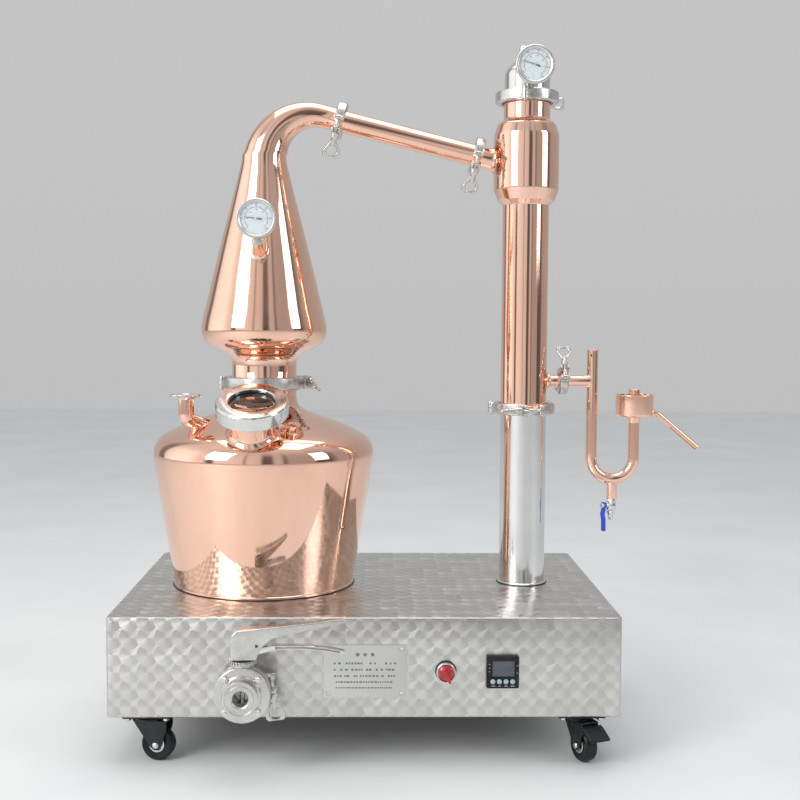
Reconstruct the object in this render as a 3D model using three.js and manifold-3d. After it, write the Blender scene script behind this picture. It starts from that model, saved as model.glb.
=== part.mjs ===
// Copper pot still on a wheeled stainless base: pot, onion head with swan neck, lyne arm,
// condenser column with cooling coil, parrot for the hydrometer, drain valve and controls.
// Millimetres, +Z up, -Y is the front with the controls. The floor is z = 0 and the origin
// lies under the middle of the whole outline.

import * as THREE from "three";
import { mergeVertices } from "three/addons/utils/BufferGeometryUtils.js";
import Module from "manifold-3d";

const wasm = await Module();
wasm.setup();

// ---------------------------------------------------------------- driving dimensions

const GAP = 0.4; // air between neighbouring solids
const DEG = Math.PI / 180;

const BASE = { width: 760, depth: 500, height: 150, floor: 72, sheet: 2, flange: 96 };
const DECK = BASE.floor + BASE.height; // height of the base's top face
const FRONT = -BASE.depth / 2; // y of the front panel
const PANEL_ROW = DECK - 80; // height of the controls' centre line

const POT = { x: -170, foot: 147, belly: 181, neck: 53, wall: 2.5 };
const COLUMN = { x: 260, r: 38, wall: 2 };
const HEAD = { bulb: 103, wall: 2, bend: { x: -85, z: 925, inner: 47 }, slope: 13.8 };
const LYNE = { r: 17.5, wall: 1.2 };
const PARROT = { r: 9.2, wall: 1, bendR: 35.5, x: 374.5, outlet: 559, bendZ: 431 };
const DRAIN = { x: -174, z: 127, r: 12.7, bore: 11, ferruleY: -276 };
const CASTER = { wheelR: 25, wheelW: 20, trail: 15, inset: { x: 57, y: 34 } };

// Ferrule radius, tube radius, clamp radius, clamp width, and each ear's distance from the middle.
const CLAMP = {
  pot: { ferrule: 59.5, tube: 53, outer: 66, width: 21, ears: 13 },
  column: { ferrule: 45.5, tube: 38, outer: 52, width: 19, ears: 13 },
  pipe: { ferrule: 25.2, tube: 17.5, outer: 31, width: 16, ears: 10 },
  outlet: { ferrule: 17, tube: 9.2, outer: 23, width: 15, ears: 8.5 },
};
const EAR = { thickness: 6, pivot: 8, top: 14.5, slot: 9 }; // pivot and top are above the clamp radius
const FERRULE = 3; // thickness of one ferrule's flange
const GASKET = 1; // gap that the gasket fills between two ferrules

// ---------------------------------------------------------------- materials

const finish = (color, roughness, metalness) =>
  new THREE.MeshStandardMaterial({ color, roughness, metalness });
const copper = finish(0xe0a283, 0.08, 1);
const steel = finish(0xc9cac8, 0.15, 1);
const satin = finish(0xb9b9b6, 0.4, 1);
const blackSteel = finish(0x1c1d20, 0.35, 0.3);
const rubber = finish(0x18191b, 0.6, 0);
const blackPlastic = finish(0x22252b, 0.45, 0);
const greyPlastic = finish(0x9aa7ae, 0.5, 0);
const redPlastic = finish(0xb3121c, 0.3, 0);
const bluePlastic = finish(0x1f55d8, 0.4, 0);
const glass = finish(0x8a6a58, 0.05, 0);
const dial = finish(0xd5dadc, 0.3, 0.6);
const inkBlack = finish(0x111111, 0.5, 0);

// ---------------------------------------------------------------- shapes

// A closed geometry as a manifold-3d solid whose faces point out.
function solidOf(geometry) {
  const flat = geometry.index ? geometry.toNonIndexed() : geometry;
  const bare = new THREE.BufferGeometry().setAttribute("position", flat.getAttribute("position"));
  const merged = mergeVertices(bare, 1e-3);
  const triVerts = new Uint32Array(merged.index.array);
  const vertProperties = merged.attributes.position.array;
  const made = new wasm.Manifold(new wasm.Mesh({ numProp: 3, vertProperties, triVerts }));
  if (made.volume() > 0) return made;
  for (let i = 0; i < triVerts.length; i += 3) {
    [triVerts[i + 1], triVerts[i + 2]] = [triVerts[i + 2], triVerts[i + 1]];
  }
  return new wasm.Manifold(new wasm.Mesh({ numProp: 3, vertProperties, triVerts }));
}

function geometryOf(solid) {
  const mesh = solid.getMesh();
  const geometry = new THREE.BufferGeometry();
  geometry.setAttribute("position", new THREE.BufferAttribute(mesh.vertProperties, 3));
  geometry.setIndex(new THREE.BufferAttribute(mesh.triVerts, 1));
  return geometry;
}

const join = (first, ...rest) =>
  geometryOf(rest.reduce((sum, g) => sum.add(solidOf(g)), solidOf(first)));
const cut = (body, ...tools) =>
  geometryOf(tools.reduce((left, g) => left.subtract(solidOf(g)), solidOf(body)));

// A box given by its centre in x and y and its lowest z.
function box(width, depth, height, x = 0, y = 0, z = 0) {
  return new THREE.BoxGeometry(width, depth, height).translate(x, y, z + height / 2);
}

// A solid of revolution about Z from [radius, z] pairs; the profile meets the axis or closes.
function lathe(profile, sides = 18) {
  const points = profile.map(([r, z]) => new THREE.Vector2(r, z));
  return new THREE.LatheGeometry(points, sides).rotateX(Math.PI / 2);
}

const rod = (r, z0, z1, sides = 12) => lathe([[0, z0], [r, z0], [r, z1], [0, z1]], sides);
const ring = (inner, outer, z0, z1, sides = 18) =>
  lathe([[inner, z0], [outer, z0], [outer, z1], [inner, z1], [inner, z0]], sides);

// Turns a shape made along Z so that it runs along another direction, from a point.
function along(geometry, direction, from = [0, 0, 0]) {
  const turn = new THREE.Quaternion().setFromUnitVectors(
    new THREE.Vector3(0, 0, 1),
    new THREE.Vector3(...direction).normalize(),
  );
  return geometry.applyQuaternion(turn).translate(...from);
}

// A solid swept along stations {x, y, z, r} whose centre line lies in a plane facing -Y.
function sweep(stations, sides = 18) {
  const position = [];
  const index = [];
  const centre = (s) => new THREE.Vector3(s.x, s.y ?? 0, s.z);
  stations.forEach((s, i) => {
    const before = centre(stations[Math.max(0, i - 1)]);
    const after = centre(stations[Math.min(stations.length - 1, i + 1)]);
    const tangent = s.t ? new THREE.Vector3(...s.t) : after.sub(before).normalize();
    const across = new THREE.Vector3(0, 1, 0);
    const up = new THREE.Vector3().crossVectors(tangent, across).normalize();
    for (let k = 0; k < sides; k++) {
      const a = (k / sides) * 2 * Math.PI;
      const p = centre(s)
        .addScaledVector(up, s.r * Math.cos(a))
        .addScaledVector(across, s.r * Math.sin(a));
      position.push(p.x, p.y, p.z);
    }
  });
  for (let i = 0; i + 1 < stations.length; i++) {
    for (let k = 0; k < sides; k++) {
      const a = i * sides + k;
      const b = i * sides + ((k + 1) % sides);
      index.push(a, b, a + sides, b, b + sides, a + sides);
    }
  }
  const last = (stations.length - 1) * sides;
  for (let k = 1; k + 1 < sides; k++) {
    index.push(0, k + 1, k, last, last + k, last + k + 1);
  }
  const geometry = new THREE.BufferGeometry();
  geometry.setAttribute("position", new THREE.Float32BufferAttribute(position, 3));
  geometry.setIndex(index);
  return geometry;
}

// A round bar that follows a curve; an even number of sides.
function bar(curve, r, steps, sides = 8) {
  const section = new THREE.Shape();
  section.absarc(0, 0, r, 0, 2 * Math.PI);
  return new THREE.ExtrudeGeometry(section, {
    extrudePath: curve,
    steps,
    curveSegments: sides / 2,
    bevelEnabled: false,
  });
}

// A flat plate in the XY plane from z = 0 up, with optional holes [x, y, r].
function plate(outline, thickness, holes = [], curveSegments = 4) {
  const shape = outline instanceof THREE.Shape ? outline : new THREE.Shape(outline);
  for (const [x, y, r] of holes) {
    shape.holes.push(new THREE.Path().absarc(x, y, r, 0, 2 * Math.PI));
  }
  return new THREE.ExtrudeGeometry(shape, { depth: thickness, curveSegments, bevelEnabled: false });
}

function roundedRectangle(width, height, r) {
  const [w, h] = [width / 2, height / 2];
  return new THREE.Shape()
    .moveTo(-w + r, -h)
    .lineTo(w - r, -h)
    .absarc(w - r, -h + r, r, -Math.PI / 2, 0)
    .lineTo(w, h - r)
    .absarc(w - r, h - r, r, 0, Math.PI / 2)
    .lineTo(-w + r, h)
    .absarc(-w + r, h - r, r, Math.PI / 2, Math.PI)
    .lineTo(-w, -h + r)
    .absarc(-w + r, -h + r, r, Math.PI, 1.5 * Math.PI);
}

function node(name, geometry, material, x = 0, y = 0, z = 0) {
  const mesh = new THREE.Mesh(geometry, material);
  mesh.name = name;
  mesh.position.set(x, y, z);
  return mesh;
}

function groupAt(x, y, z, ...children) {
  const group = new THREE.Group();
  group.position.set(x, y, z);
  group.add(...children);
  return group;
}

// Outline of a tube end that rises to its flange: the flange's face is at z and looks up.
function flange({ ferrule: f, tube }, z) {
  return [[tube, z - FERRULE - coneHeight(f, tube)], [f, z - FERRULE], [f, z]];
}

// The same flange upside down: its face is at z and looks down.
const footFlange = (size, z) => flange(size, 0).map(([r, h]) => [r, z - h]).reverse();

const coneHeight = (f, tube) => (f - tube) * 0.28; // height of a flange's tapered back

// ---------------------------------------------------------------- base

function baseCabinet() {
  const { width, depth, height, floor, sheet, flange } = BASE;
  const shell = box(width, depth, height, 0, 0, floor);
  const hollow = box(width - 2 * sheet, depth - 2 * sheet, height - 2 * sheet, 0, 0, floor + sheet);
  const hatch = box(width - 2 * flange, depth - 2 * flange, 3 * sheet, 0, 0, floor - sheet);
  const through = (r, x, z) => along(rod(r, 0, 4 * sheet), [0, 1, 0], [x, FRONT - sheet, z]);
  return cut(
    shell,
    hollow,
    hatch,
    through(DRAIN.r + 2, DRAIN.x, DRAIN.z),
    through(11.5, SELECTOR.x, PANEL_ROW),
    box(45.6, 4 * sheet, 45.6, CONTROLLER.x, FRONT, PANEL_ROW - 22.8),
    box(120, 4 * sheet, 44, SERVICE.x, -FRONT, SERVICE.z - 22),
    rod(17, DECK - 2 * sheet, DECK + sheet).translate(POT.x, 0, 0),
    rod(8, DECK - 2 * sheet, DECK + sheet).translate(POT.x - HEATER.legs, HEATER.y, 0),
    rod(8, DECK - 2 * sheet, DECK + sheet).translate(POT.x + HEATER.legs, HEATER.y, 0),
    rod(32, DECK - 2 * sheet, DECK + sheet).translate(COLUMN.x, 0, 0),
  );
}

const NAMEPLATE = { x: 0, width: 122, height: 80, thickness: 1 };

function nameplate() {
  const { x, width, height, thickness } = NAMEPLATE;
  const sheet = plate(roundedRectangle(width, height, 2), thickness, [], 3);
  const rivets = [-1, 1].flatMap((i) =>
    [-1, 1].map((j) =>
      lathe([[0, 0.5], [2.6, 0.5], [2.6, 1.6], [1.4, 2.4], [0, 2.4]], 8).translate(
        i * (width / 2 - 7), j * (height / 2 - 7), 0),
    ),
  );
  const geometry = join(sheet, ...rivets).rotateX(Math.PI / 2);
  return node("nameplate", geometry, satin, x, FRONT - GAP, PANEL_ROW);
}

const SELECTOR = { x: 119, bezel: 14.7, depth: 12, knob: 11.8, rest: 66 };

function selector() {
  const { x, bezel, depth, knob, rest } = SELECTOR;
  const collar = lathe([
    [9, -22], [10.6, -22], [10.6, GAP], [bezel, GAP], [bezel, depth - 3],
    [bezel - 1.2, depth], [12.8, depth], [12.8, 5], [9, 5], [9, -22],
  ], 18);
  const grip = join(
    lathe([[0, 6], [knob, 6], [knob, 13], [knob - 1.5, 15], [0, 15]], 16),
    rod(8, -16, 7),
    box(2 * knob - 3, 6, 8, 0, 0, 14),
    box(4, 4, 4, knob + 0.2, 0, 13.2),
  ).rotateZ(-rest * DEG);
  const group = groupAt(
    x, FRONT, PANEL_ROW,
    node("selector_bezel", collar, steel),
    node("selector_knob", grip, redPlastic),
  );
  group.rotation.x = Math.PI / 2;
  return group;
}

const CONTROLLER = { x: 202.5, face: 48, lip: 7, body: 70, button: 3.6, pitch: 9.7, travel: 1 };

// Made looking up the z axis, then stood up so that its face looks to the front.
function controller() {
  const { x, face, lip, body, button, pitch, travel } = CONTROLLER;
  const row = -14;
  const columns = [-1.5, -0.5, 0.5, 1.5].map((i) => i * pitch);
  const pocket = travel + 3;
  const shell = join(box(face, face, lip, 0, 0, GAP), box(44.8, 44.8, body, 0, 0, 1 - body));
  const front = lip + GAP;
  const carved = cut(
    shell,
    box(34, 24.5, 4, 1.2, 4.5, front - 1),
    ...columns.map((c) => rod(button + 0.6, front - pocket, front + 1, 10).translate(c, row, 0)),
  );
  const group = groupAt(x, FRONT, PANEL_ROW, node("controller_case", carved, blackPlastic));
  columns.forEach((c, i) => {
    const cap = lathe([[0, 0], [button, 0], [button, 3.2], [button - 0.8, 4.2], [0, 4.2]], 10);
    const z = front - pocket + travel + GAP;
    group.add(node(`controller_button_${i + 1}`, cap, greyPlastic, c, row, z));
  });
  group.rotation.x = Math.PI / 2;
  return group;
}

const SERVICE = { x: 250, z: 132, width: 150, height: 64 };

// Rear plate with the two cooling-water nipples and the mains inlet gland.
function servicePlate() {
  const { x, z, width, height } = SERVICE;
  const sheet = plate(roundedRectangle(width, height, 4), 2, [], 3);
  const nipple = (u) =>
    lathe([
      [5, -14], [9, -14], [9, 3], [7, 3], [8.4, 26], [7, 30], [5, 30], [5, -14],
    ], 8).translate(u, 0, 0);
  const drilled = cut(sheet, rod(7, -1, 3, 8).translate(-45, 0, 0), rod(7, -1, 3, 8));
  const gland = lathe([[0, -12], [9, -12], [9, 8], [11, 8], [11, 15], [6, 19], [0, 19]], 8);
  const geometry = join(drilled, nipple(-45), nipple(0), gland.translate(45, 0, 0));
  return node("service_plate", geometry.rotateX(-Math.PI / 2), steel, x, -FRONT + GAP, z);
}

// ---------------------------------------------------------------- casters

const FACETS = 18;
const AXLE = CASTER.wheelR * Math.cos(Math.PI / FACETS); // the tread's lowest facet touches z = 0

// One swivel caster; the wheel trails along +X before the swivel turns by `heading`.
function caster(name, x, y, heading, braked) {
  const { wheelR, wheelW, trail } = CASTER;
  const top = BASE.floor - GAP;
  const half = wheelW / 2;
  const mounting = join(box(72, 60, 2.5, 0, 0, top - 2.5), rod(22, top - 6.5, top - 2, 14));
  const cheek = [
    [-22, 62], [trail - 7, AXLE - 6], [trail, AXLE - 8], [trail + 7, AXLE - 6], [32, 51], [32, 62],
  ].map(([u, z]) => new THREE.Vector2(u, z));
  const leg = (side) =>
    plate(cheek, 2).rotateX(Math.PI / 2).translate(0, side > 0 ? half + 4 : -half - 2, 0);
  const crown = rod(22, 61, top - 6.5 - GAP, 14);
  const bridge = box(36, wheelW + 6, 2, 0, 0, 60);
  const across = (r, reach, u, z) => along(rod(r, -reach, reach, 8), [0, 1, 0], [u, 0, z]);
  const pins = [across(3, half + 6.5, trail, AXLE)];
  if (braked) pins.push(across(PEDAL.pin, half + 3, PEDAL.x, PEDAL.z));
  const fork = join(crown, bridge, leg(1), leg(-1), ...pins);
  const wheel = lathe([
    [3.9, -half], [22.5, -half], [wheelR, 3 - half], [wheelR, half - 3], [22.5, half],
    [3.9, half], [3.9, -half],
  ], FACETS)
    .rotateZ(Math.PI / FACETS)
    .rotateX(Math.PI / 2);
  const swivel = groupAt(
    0, 0, 0,
    node(`caster_fork_${name}`, fork, blackSteel),
    node(`caster_wheel_${name}`, wheel, rubber, trail, 0, AXLE),
  );
  if (braked) swivel.add(node(`caster_pedal_${name}`, brakePedal(), blackPlastic));
  swivel.rotation.z = heading * DEG;
  return groupAt(x, y, 0, node(`caster_plate_${name}`, mounting, blackSteel), swivel);
}

const PEDAL = { x: 27.5, z: 55.5, pin: 2 };

// Foot pedal above the wheel, on a pin between the fork's cheeks.
function brakePedal() {
  const shaped = (outline, width) =>
    plate(outline.map(([u, z]) => new THREE.Vector2(u, z)), width)
      .rotateX(Math.PI / 2)
      .translate(0, width / 2, 0);
  const heel = shaped([[24, 59], [40, 57], [40, 50], [34, 51], [24, 52]], CASTER.wheelW + 2);
  const tread = shaped([[34, 58.5], [39, 57], [61, 45], [61, 41], [48, 44], [34, 51]], 34);
  const bore = along(rod(PEDAL.pin + 0.4, -15, 15, 8), [0, 1, 0], [PEDAL.x, 0, PEDAL.z]);
  return cut(join(heel, tread), bore);
}

const CASTER_X = BASE.width / 2 - CASTER.inset.x;
const CASTER_Y = BASE.depth / 2 - CASTER.inset.y;

// ---------------------------------------------------------------- pot

// Centre of the sight glass on the dome, and how far its axis leans forward from the vertical.
const SIGHT = {
  side: -4.7, reach: 140, z: 485, lean: 25, neck: 34.5, seat: 47, ring: 56, opening: 36, length: 40,
};
const sightAxis = [0, -Math.sin(SIGHT.lean * DEG), Math.cos(SIGHT.lean * DEG)];
// Elbowed fill inlet on the dome's left shoulder, and the small capped branch to the right.
const FILL = { azimuth: 218, out: 146, r: 12.2, wall: 1.2, knee: 497, top: 539.5 };
const VENT = { azimuth: 293, reach: 136, z: 484, r: 9 };
const NECK_TOP = 553.5;
const NECK_HEIGHT = NECK_TOP - DECK;

// The pot's outer profile as [radius, height above the deck].
const POT_PROFILE = [
  [POT.foot, 0.4], [POT.foot + 33, 205], [POT.belly, 219], [177, 233], [166, 246], [140, 260],
  [100, 275.5], [72, 285.5], [58, 294], [POT.neck, 307],
];

// The pot's filled outline and its filled hollow, both about the pot's own axis.
function potBody() {
  return lathe([[0, 0.4], ...POT_PROFILE, ...flange(CLAMP.pot, NECK_HEIGHT), [0, NECK_HEIGHT]], 22);
}

function potHollow() {
  const [, ...sloping] = POT_PROFILE;
  const wall = sloping.map(([r, z]) => [r - POT.wall, z - 1.2]);
  const neck = [[POT.neck - POT.wall, NECK_HEIGHT + 1], [0, NECK_HEIGHT + 1]];
  return lathe([[0, 3.4], [POT.foot - POT.wall, 3.4], ...wall, ...neck], 22);
}

// Tube elbow at the dome's left that takes the charge; it ends in an upright open ferrule.
function fillElbow(r) {
  const a = FILL.azimuth * DEG;
  const { out, knee, top } = FILL;
  const at = (reach, z) => new THREE.Vector3(reach * Math.cos(a), reach * Math.sin(a), z - DECK);
  const path = new THREE.CurvePath();
  path.add(new THREE.LineCurve3(at(out - 69, knee - 22), at(out - 14, knee - 2)));
  path.add(new THREE.QuadraticBezierCurve3(at(out - 14, knee - 2), at(out, knee + 2), at(out, knee + 14)));
  path.add(new THREE.LineCurve3(at(out, knee + 14), at(out, top - 2)));
  return bar(path, r, 7, 10);
}

function pot() {
  const a = FILL.azimuth * DEG;
  const fillAt = [FILL.out * Math.cos(a), FILL.out * Math.sin(a), FILL.top - DECK];
  const fillSize = { ferrule: CLAMP.pipe.ferrule, tube: FILL.r - 0.5 };
  const mouth = lathe([[0, -12], [FILL.r - 0.5, -12], ...flange(fillSize, 0), [0, 0]], 16);
  const fillBore = rod(FILL.r - FILL.wall, -14, 1, 10);
  const sightAt = [SIGHT.side, -SIGHT.reach, SIGHT.z - DECK];
  const { neck, seat, length } = SIGHT;
  const sight = lathe(
    [[0, -24], [neck, -24], [neck, length - 5], [seat, length - 5], [seat, length], [0, length]], 16);
  const v = VENT.azimuth * DEG;
  const ventAt = [VENT.reach * Math.cos(v), VENT.reach * Math.sin(v), VENT.z - DECK];
  const ventAxis = [0.42 * Math.cos(v), 0.42 * Math.sin(v), 0.91];
  const filled = join(
    potBody(),
    along(sight, sightAxis, sightAt),
    fillElbow(FILL.r),
    mouth.translate(...fillAt),
    along(rod(VENT.r, -8, 12, 10), ventAxis, ventAt),
  );
  const geometry = cut(
    filled,
    potHollow(),
    along(rod(neck - 2, -60, length + 1, 16), sightAxis, sightAt),
    fillElbow(FILL.r - FILL.wall),
    fillBore.translate(...fillAt),
    along(rod(VENT.r - 1.5, -20, 13, 10), ventAxis, ventAt),
    rod(DRAIN.r + GAP, -1, 5).translate(DRAIN.x - POT.x, 0, 0),
    rod(7, -1, 5).translate(-HEATER.legs, HEATER.y, 0),
    rod(7, -1, 5).translate(HEATER.legs, HEATER.y, 0),
  );
  return node("pot", geometry, copper, POT.x, 0, DECK);
}

// Threaded union ring and the glass pane that it clamps on the sight-glass neck.
function sightGlass() {
  const { ring: r, opening, length } = SIGHT;
  const low = length - 9;
  const union = lathe([
    [48.5, low], [r - 1.5, low], [r, low + 1.5], [r, length + 13.5], [r - 1.5, length + 15],
    [opening + 1.5, length + 15], [opening, length + 13.5], [opening, length + 9.5],
    [48.5, length + 9.5], [48.5, low],
  ], 20);
  const pane = rod(47, length + GAP, length + 9, 20);
  const group = groupAt(
    POT.x + SIGHT.side, -SIGHT.reach, SIGHT.z,
    node("sight_glass_ring", union, steel),
    node("sight_glass_pane", pane, glass),
  );
  group.rotation.x = SIGHT.lean * DEG;
  return group;
}

const HEATER = { loop: 95, legs: 24, r: 5, y: 60, z: 262 };

// Electric heating rod: one loop above the pot's bottom, with both cold ends down in the base.
function heatingElement() {
  const { loop, legs, r, y, z } = HEATER;
  const start = Math.asin(legs / loop);
  const path = new THREE.CatmullRomCurve3([], false, "catmullrom", 0.3);
  const leg = (side) => [
    new THREE.Vector3(side * legs, y, 170), new THREE.Vector3(side * legs, y, 215),
    new THREE.Vector3(side * legs, y, z - 10), new THREE.Vector3(side * legs, y + 8, z),
  ];
  path.points.push(...leg(1));
  const turns = 14;
  for (let i = 0; i <= turns; i++) {
    const a = Math.PI / 2 - start - (i / turns) * (2 * Math.PI - 2 * start);
    path.points.push(new THREE.Vector3(loop * Math.cos(a), loop * Math.sin(a), z));
  }
  path.points.push(...leg(-1).reverse());
  return node("heating_element", bar(path, r, 40, 6), satin, POT.x, 0, 0);
}

// Drain from the pot's bottom, down inside the base and out through the front panel.
function drainPipe() {
  const { z, r, bore, ferruleY } = DRAIN;
  const path = () => {
    const curve = new THREE.CurvePath();
    const corner = 34;
    curve.add(new THREE.LineCurve3(new THREE.Vector3(0, 0, DECK + 2), new THREE.Vector3(0, 0, z + corner)));
    curve.add(new THREE.QuadraticBezierCurve3(
      new THREE.Vector3(0, 0, z + corner), new THREE.Vector3(0, 0, z), new THREE.Vector3(0, -corner, z)));
    curve.add(new THREE.LineCurve3(new THREE.Vector3(0, -corner, z), new THREE.Vector3(0, ferruleY, z)));
    return curve;
  };
  const size = { ferrule: CLAMP.pipe.ferrule, tube: r };
  const end = lathe([[0, -9], [r, -9], ...flange(size, 0), [0, 0]], 12);
  const filled = join(bar(path(), r, 10, 12), along(end, [0, -1, 0], [0, ferruleY, z]));
  const mouth = along(rod(bore, -12, 1, 12), [0, -1, 0], [0, ferruleY, z]);
  const geometry = cut(filled, bar(path(), bore, 10, 12), mouth);
  return node("drain_pipe", geometry, steel, DRAIN.x, 0, 0);
}

// ---------------------------------------------------------------- clamps

// A hinged tube clamp about its own z axis. The band's ears stand at +Y with the screw across
// them, and the screw's wing nut lies towards -X. Each hinge knuckle is at an angle from +Y.
function clamp(name, size, { wing = 0, hinges = [180] }) {
  const { ferrule: f, tube, outer, width, ears } = size;
  const half = width / 2;
  const stack = FERRULE + GASKET / 2 + GAP;
  const lip = f - (f - tube) * 0.5;
  const slopeAtLip = stack + coneHeight(f, tube) * 0.5 + 0.3;
  const sides = outer > 40 ? 18 : 14;
  const groove = (f + GAP) / Math.cos(Math.PI / sides);
  const channel = lathe([
    [groove, -stack], [lip, -slopeAtLip], [lip, -half], [outer, -half], [outer, half],
    [lip, half], [lip, slopeAtLip], [groove, stack], [groove, -stack],
  ], sides);
  const { thickness, pivot, top, slot } = EAR;
  const ear = (side) => box(thickness, top + 3, width, side * ears, outer - 3 + (top + 3) / 2, -half);
  const knuckles = hinges.map((a) =>
    rod(5, -half, half, 8).translate(0, outer + 4, 0).rotateZ(a * DEG));
  const between = box(2 * ears - thickness, 26, width + 2, 0, outer + 3, -half - 1);
  const opening = (side) => box(thickness + 4, 20, slot, side * ears, outer + 9, -slot / 2);
  const band = cut(join(channel, ear(1), ear(-1), ...knuckles), between, opening(1), opening(-1));
  return [
    node(`${name}_clamp_band`, band, steel),
    node(`${name}_clamp_screw`, clampScrew(ears, wing).translate(ears, outer + pivot, 0), steel),
  ];
}

// Eye bolt with its wing nut, from the eye towards -X; `wing` turns the nut on the bolt.
function clampScrew(ears, wing) {
  const start = 2 * ears + EAR.thickness / 2 + 0.5;
  const scale = Math.min(1, ears / CLAMP.pipe.ears);
  const sized = (points) => points.map(([u, v]) => [u * scale, start + v * scale]);
  const eye = rod(3.8, -3.6, 3.6, 8);
  const shank = along(rod(2.8, 0, start + 8, 6), [-1, 0, 0]);
  const nut = lathe(sized([[0, 0], [3.9, 0], [6.2, 3.6], [6.2, 9], [4, 18], [0, 18]]), 6);
  const outline = sized([
    [-4, 15], [4, 15], [14.6, 30], [14.8, 38], [11, 42], [-11, 42], [-14.8, 38], [-14.6, 30],
  ]).map(([u, v]) => new THREE.Vector2(u, v));
  const hole = [0, start + 30.5 * scale, 9 * scale];
  const loop = plate(outline, 5, [hole], 5).translate(0, 0, -2.5).rotateX(Math.PI / 2);
  return join(eye, shank, along(join(nut, loop).rotateZ(wing * DEG), [-1, 0, 0]));
}

// Places a clamp: `axis` is the tube's direction, `ears` the side its ears stand on.
function clampAt(name, size, position, axis, ears, options = {}) {
  const z = new THREE.Vector3(...axis).normalize();
  const y = new THREE.Vector3(...ears);
  y.addScaledVector(z, -y.dot(z)).normalize();
  const x = new THREE.Vector3().crossVectors(y, z);
  const group = groupAt(...position, ...clamp(name, size, options));
  group.quaternion.setFromRotationMatrix(new THREE.Matrix4().makeBasis(x, y, z));
  return group;
}

// ---------------------------------------------------------------- head and lyne arm

const slope = HEAD.slope * DEG;
const lyneDirection = [Math.cos(slope), 0, -Math.sin(slope)];
const HEAD_BOTTOM = NECK_TOP + GASKET;
const HEAD_END_R = 18.5;
const BEND_END = 90 + HEAD.slope; // degrees the swan neck turns through

// The head's outer surface as stations up the axis and round the swan neck.
function headStations(inset) {
  const foot = inset ? [[53, HEAD_BOTTOM - 2]] : footFlange(CLAMP.pot, HEAD_BOTTOM);
  const upright = [
    ...foot, [53, 590], [58, 599], [86, 613], [99, 625], [HEAD.bulb, 641],
    [101, 656], [68.5, 790], [43.5, 886], [37, 915],
  ].map(([r, z]) => ({ x: POT.x, z, r: r - inset, t: [0, 0, 1] }));
  const { x, z, inner } = HEAD.bend;
  const steps = 7;
  const bend = Array.from({ length: steps + 1 }, (_, i) => {
    const u = i / steps;
    const r = HEAD_END_R + (36 - HEAD_END_R) * (1 - u) ** 1.35;
    const a = (180 - u * BEND_END) * DEG;
    const reach = inner + r;
    return {
      x: x + reach * Math.cos(a), z: z + reach * Math.sin(a), r: r - inset,
      t: [Math.sin(a), 0, -Math.cos(a)],
    };
  });
  const last = bend[steps];
  const ahead = (distance, r) => ({
    x: last.x + distance * lyneDirection[0], z: last.z + distance * lyneDirection[2],
    r: r - inset, t: lyneDirection,
  });
  const size = { ...CLAMP.pipe, tube: HEAD_END_R };
  const spout = inset
    ? [ahead(HEAD_SPOUT + 2, HEAD_END_R)]
    : flange(size, HEAD_SPOUT).map(([r, distance]) => ahead(distance, r));
  return [...upright, ...bend, ...spout];
}

const HEAD_SPOUT = 23;

function lyneStart() {
  const end = headStations(0).at(-1);
  return [end.x, 0, end.z];
}

const THERMOWELL = { z: 766, lean: 38, r: 11.5, length: 40 };
const wellAxis = [0, -Math.cos(THERMOWELL.lean * DEG), Math.sin(THERMOWELL.lean * DEG)];

function head() {
  const wellFrom = [POT.x, -60, THERMOWELL.z - 10];
  const { r, length } = THERMOWELL;
  const well = along(rod(r, 0, length + 16, 10), wellAxis, wellFrom);
  const wellBore = along(rod(r - 3, -20, length + 20, 10), wellAxis, wellFrom);
  const geometry = cut(join(sweep(headStations(0)), well), sweep(headStations(HEAD.wall)), wellBore);
  return node("swan_neck_head", geometry, copper);
}

// Point where the thermowell ends, on its own axis.
const wellEnd = [
  POT.x,
  -60 + wellAxis[1] * (THERMOWELL.length + 16),
  THERMOWELL.z - 10 + wellAxis[2] * (THERMOWELL.length + 16),
];

// A tube with a flange on both ends.
function flangedPipe(from, direction, length) {
  const bore = LYNE.r - LYNE.wall;
  const profile = [
    [bore, 0], ...footFlange(CLAMP.pipe, 0), ...flange(CLAMP.pipe, length), [bore, length], [bore, 0],
  ];
  return along(lathe(profile, 16), direction, from);
}

const step = (from, direction, distance) => from.map((v, i) => v + direction[i] * distance);
const LYNE_LENGTH = 231;
const lyneFrom = step(lyneStart(), lyneDirection, GASKET);
const lyneTo = step(lyneFrom, lyneDirection, LYNE_LENGTH);

// ---------------------------------------------------------------- condenser column

const COLUMN_FOOT = 514; // bottom face of the copper column
const COLUMN_TOP = 1021.5;
const BULB = 53.5;

const COLUMN_PROFILE = [
  [COLUMN.r, 850], [48, 856], [BULB, 872], [BULB, 962], [49, 978], [COLUMN.r, 988],
];

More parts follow.
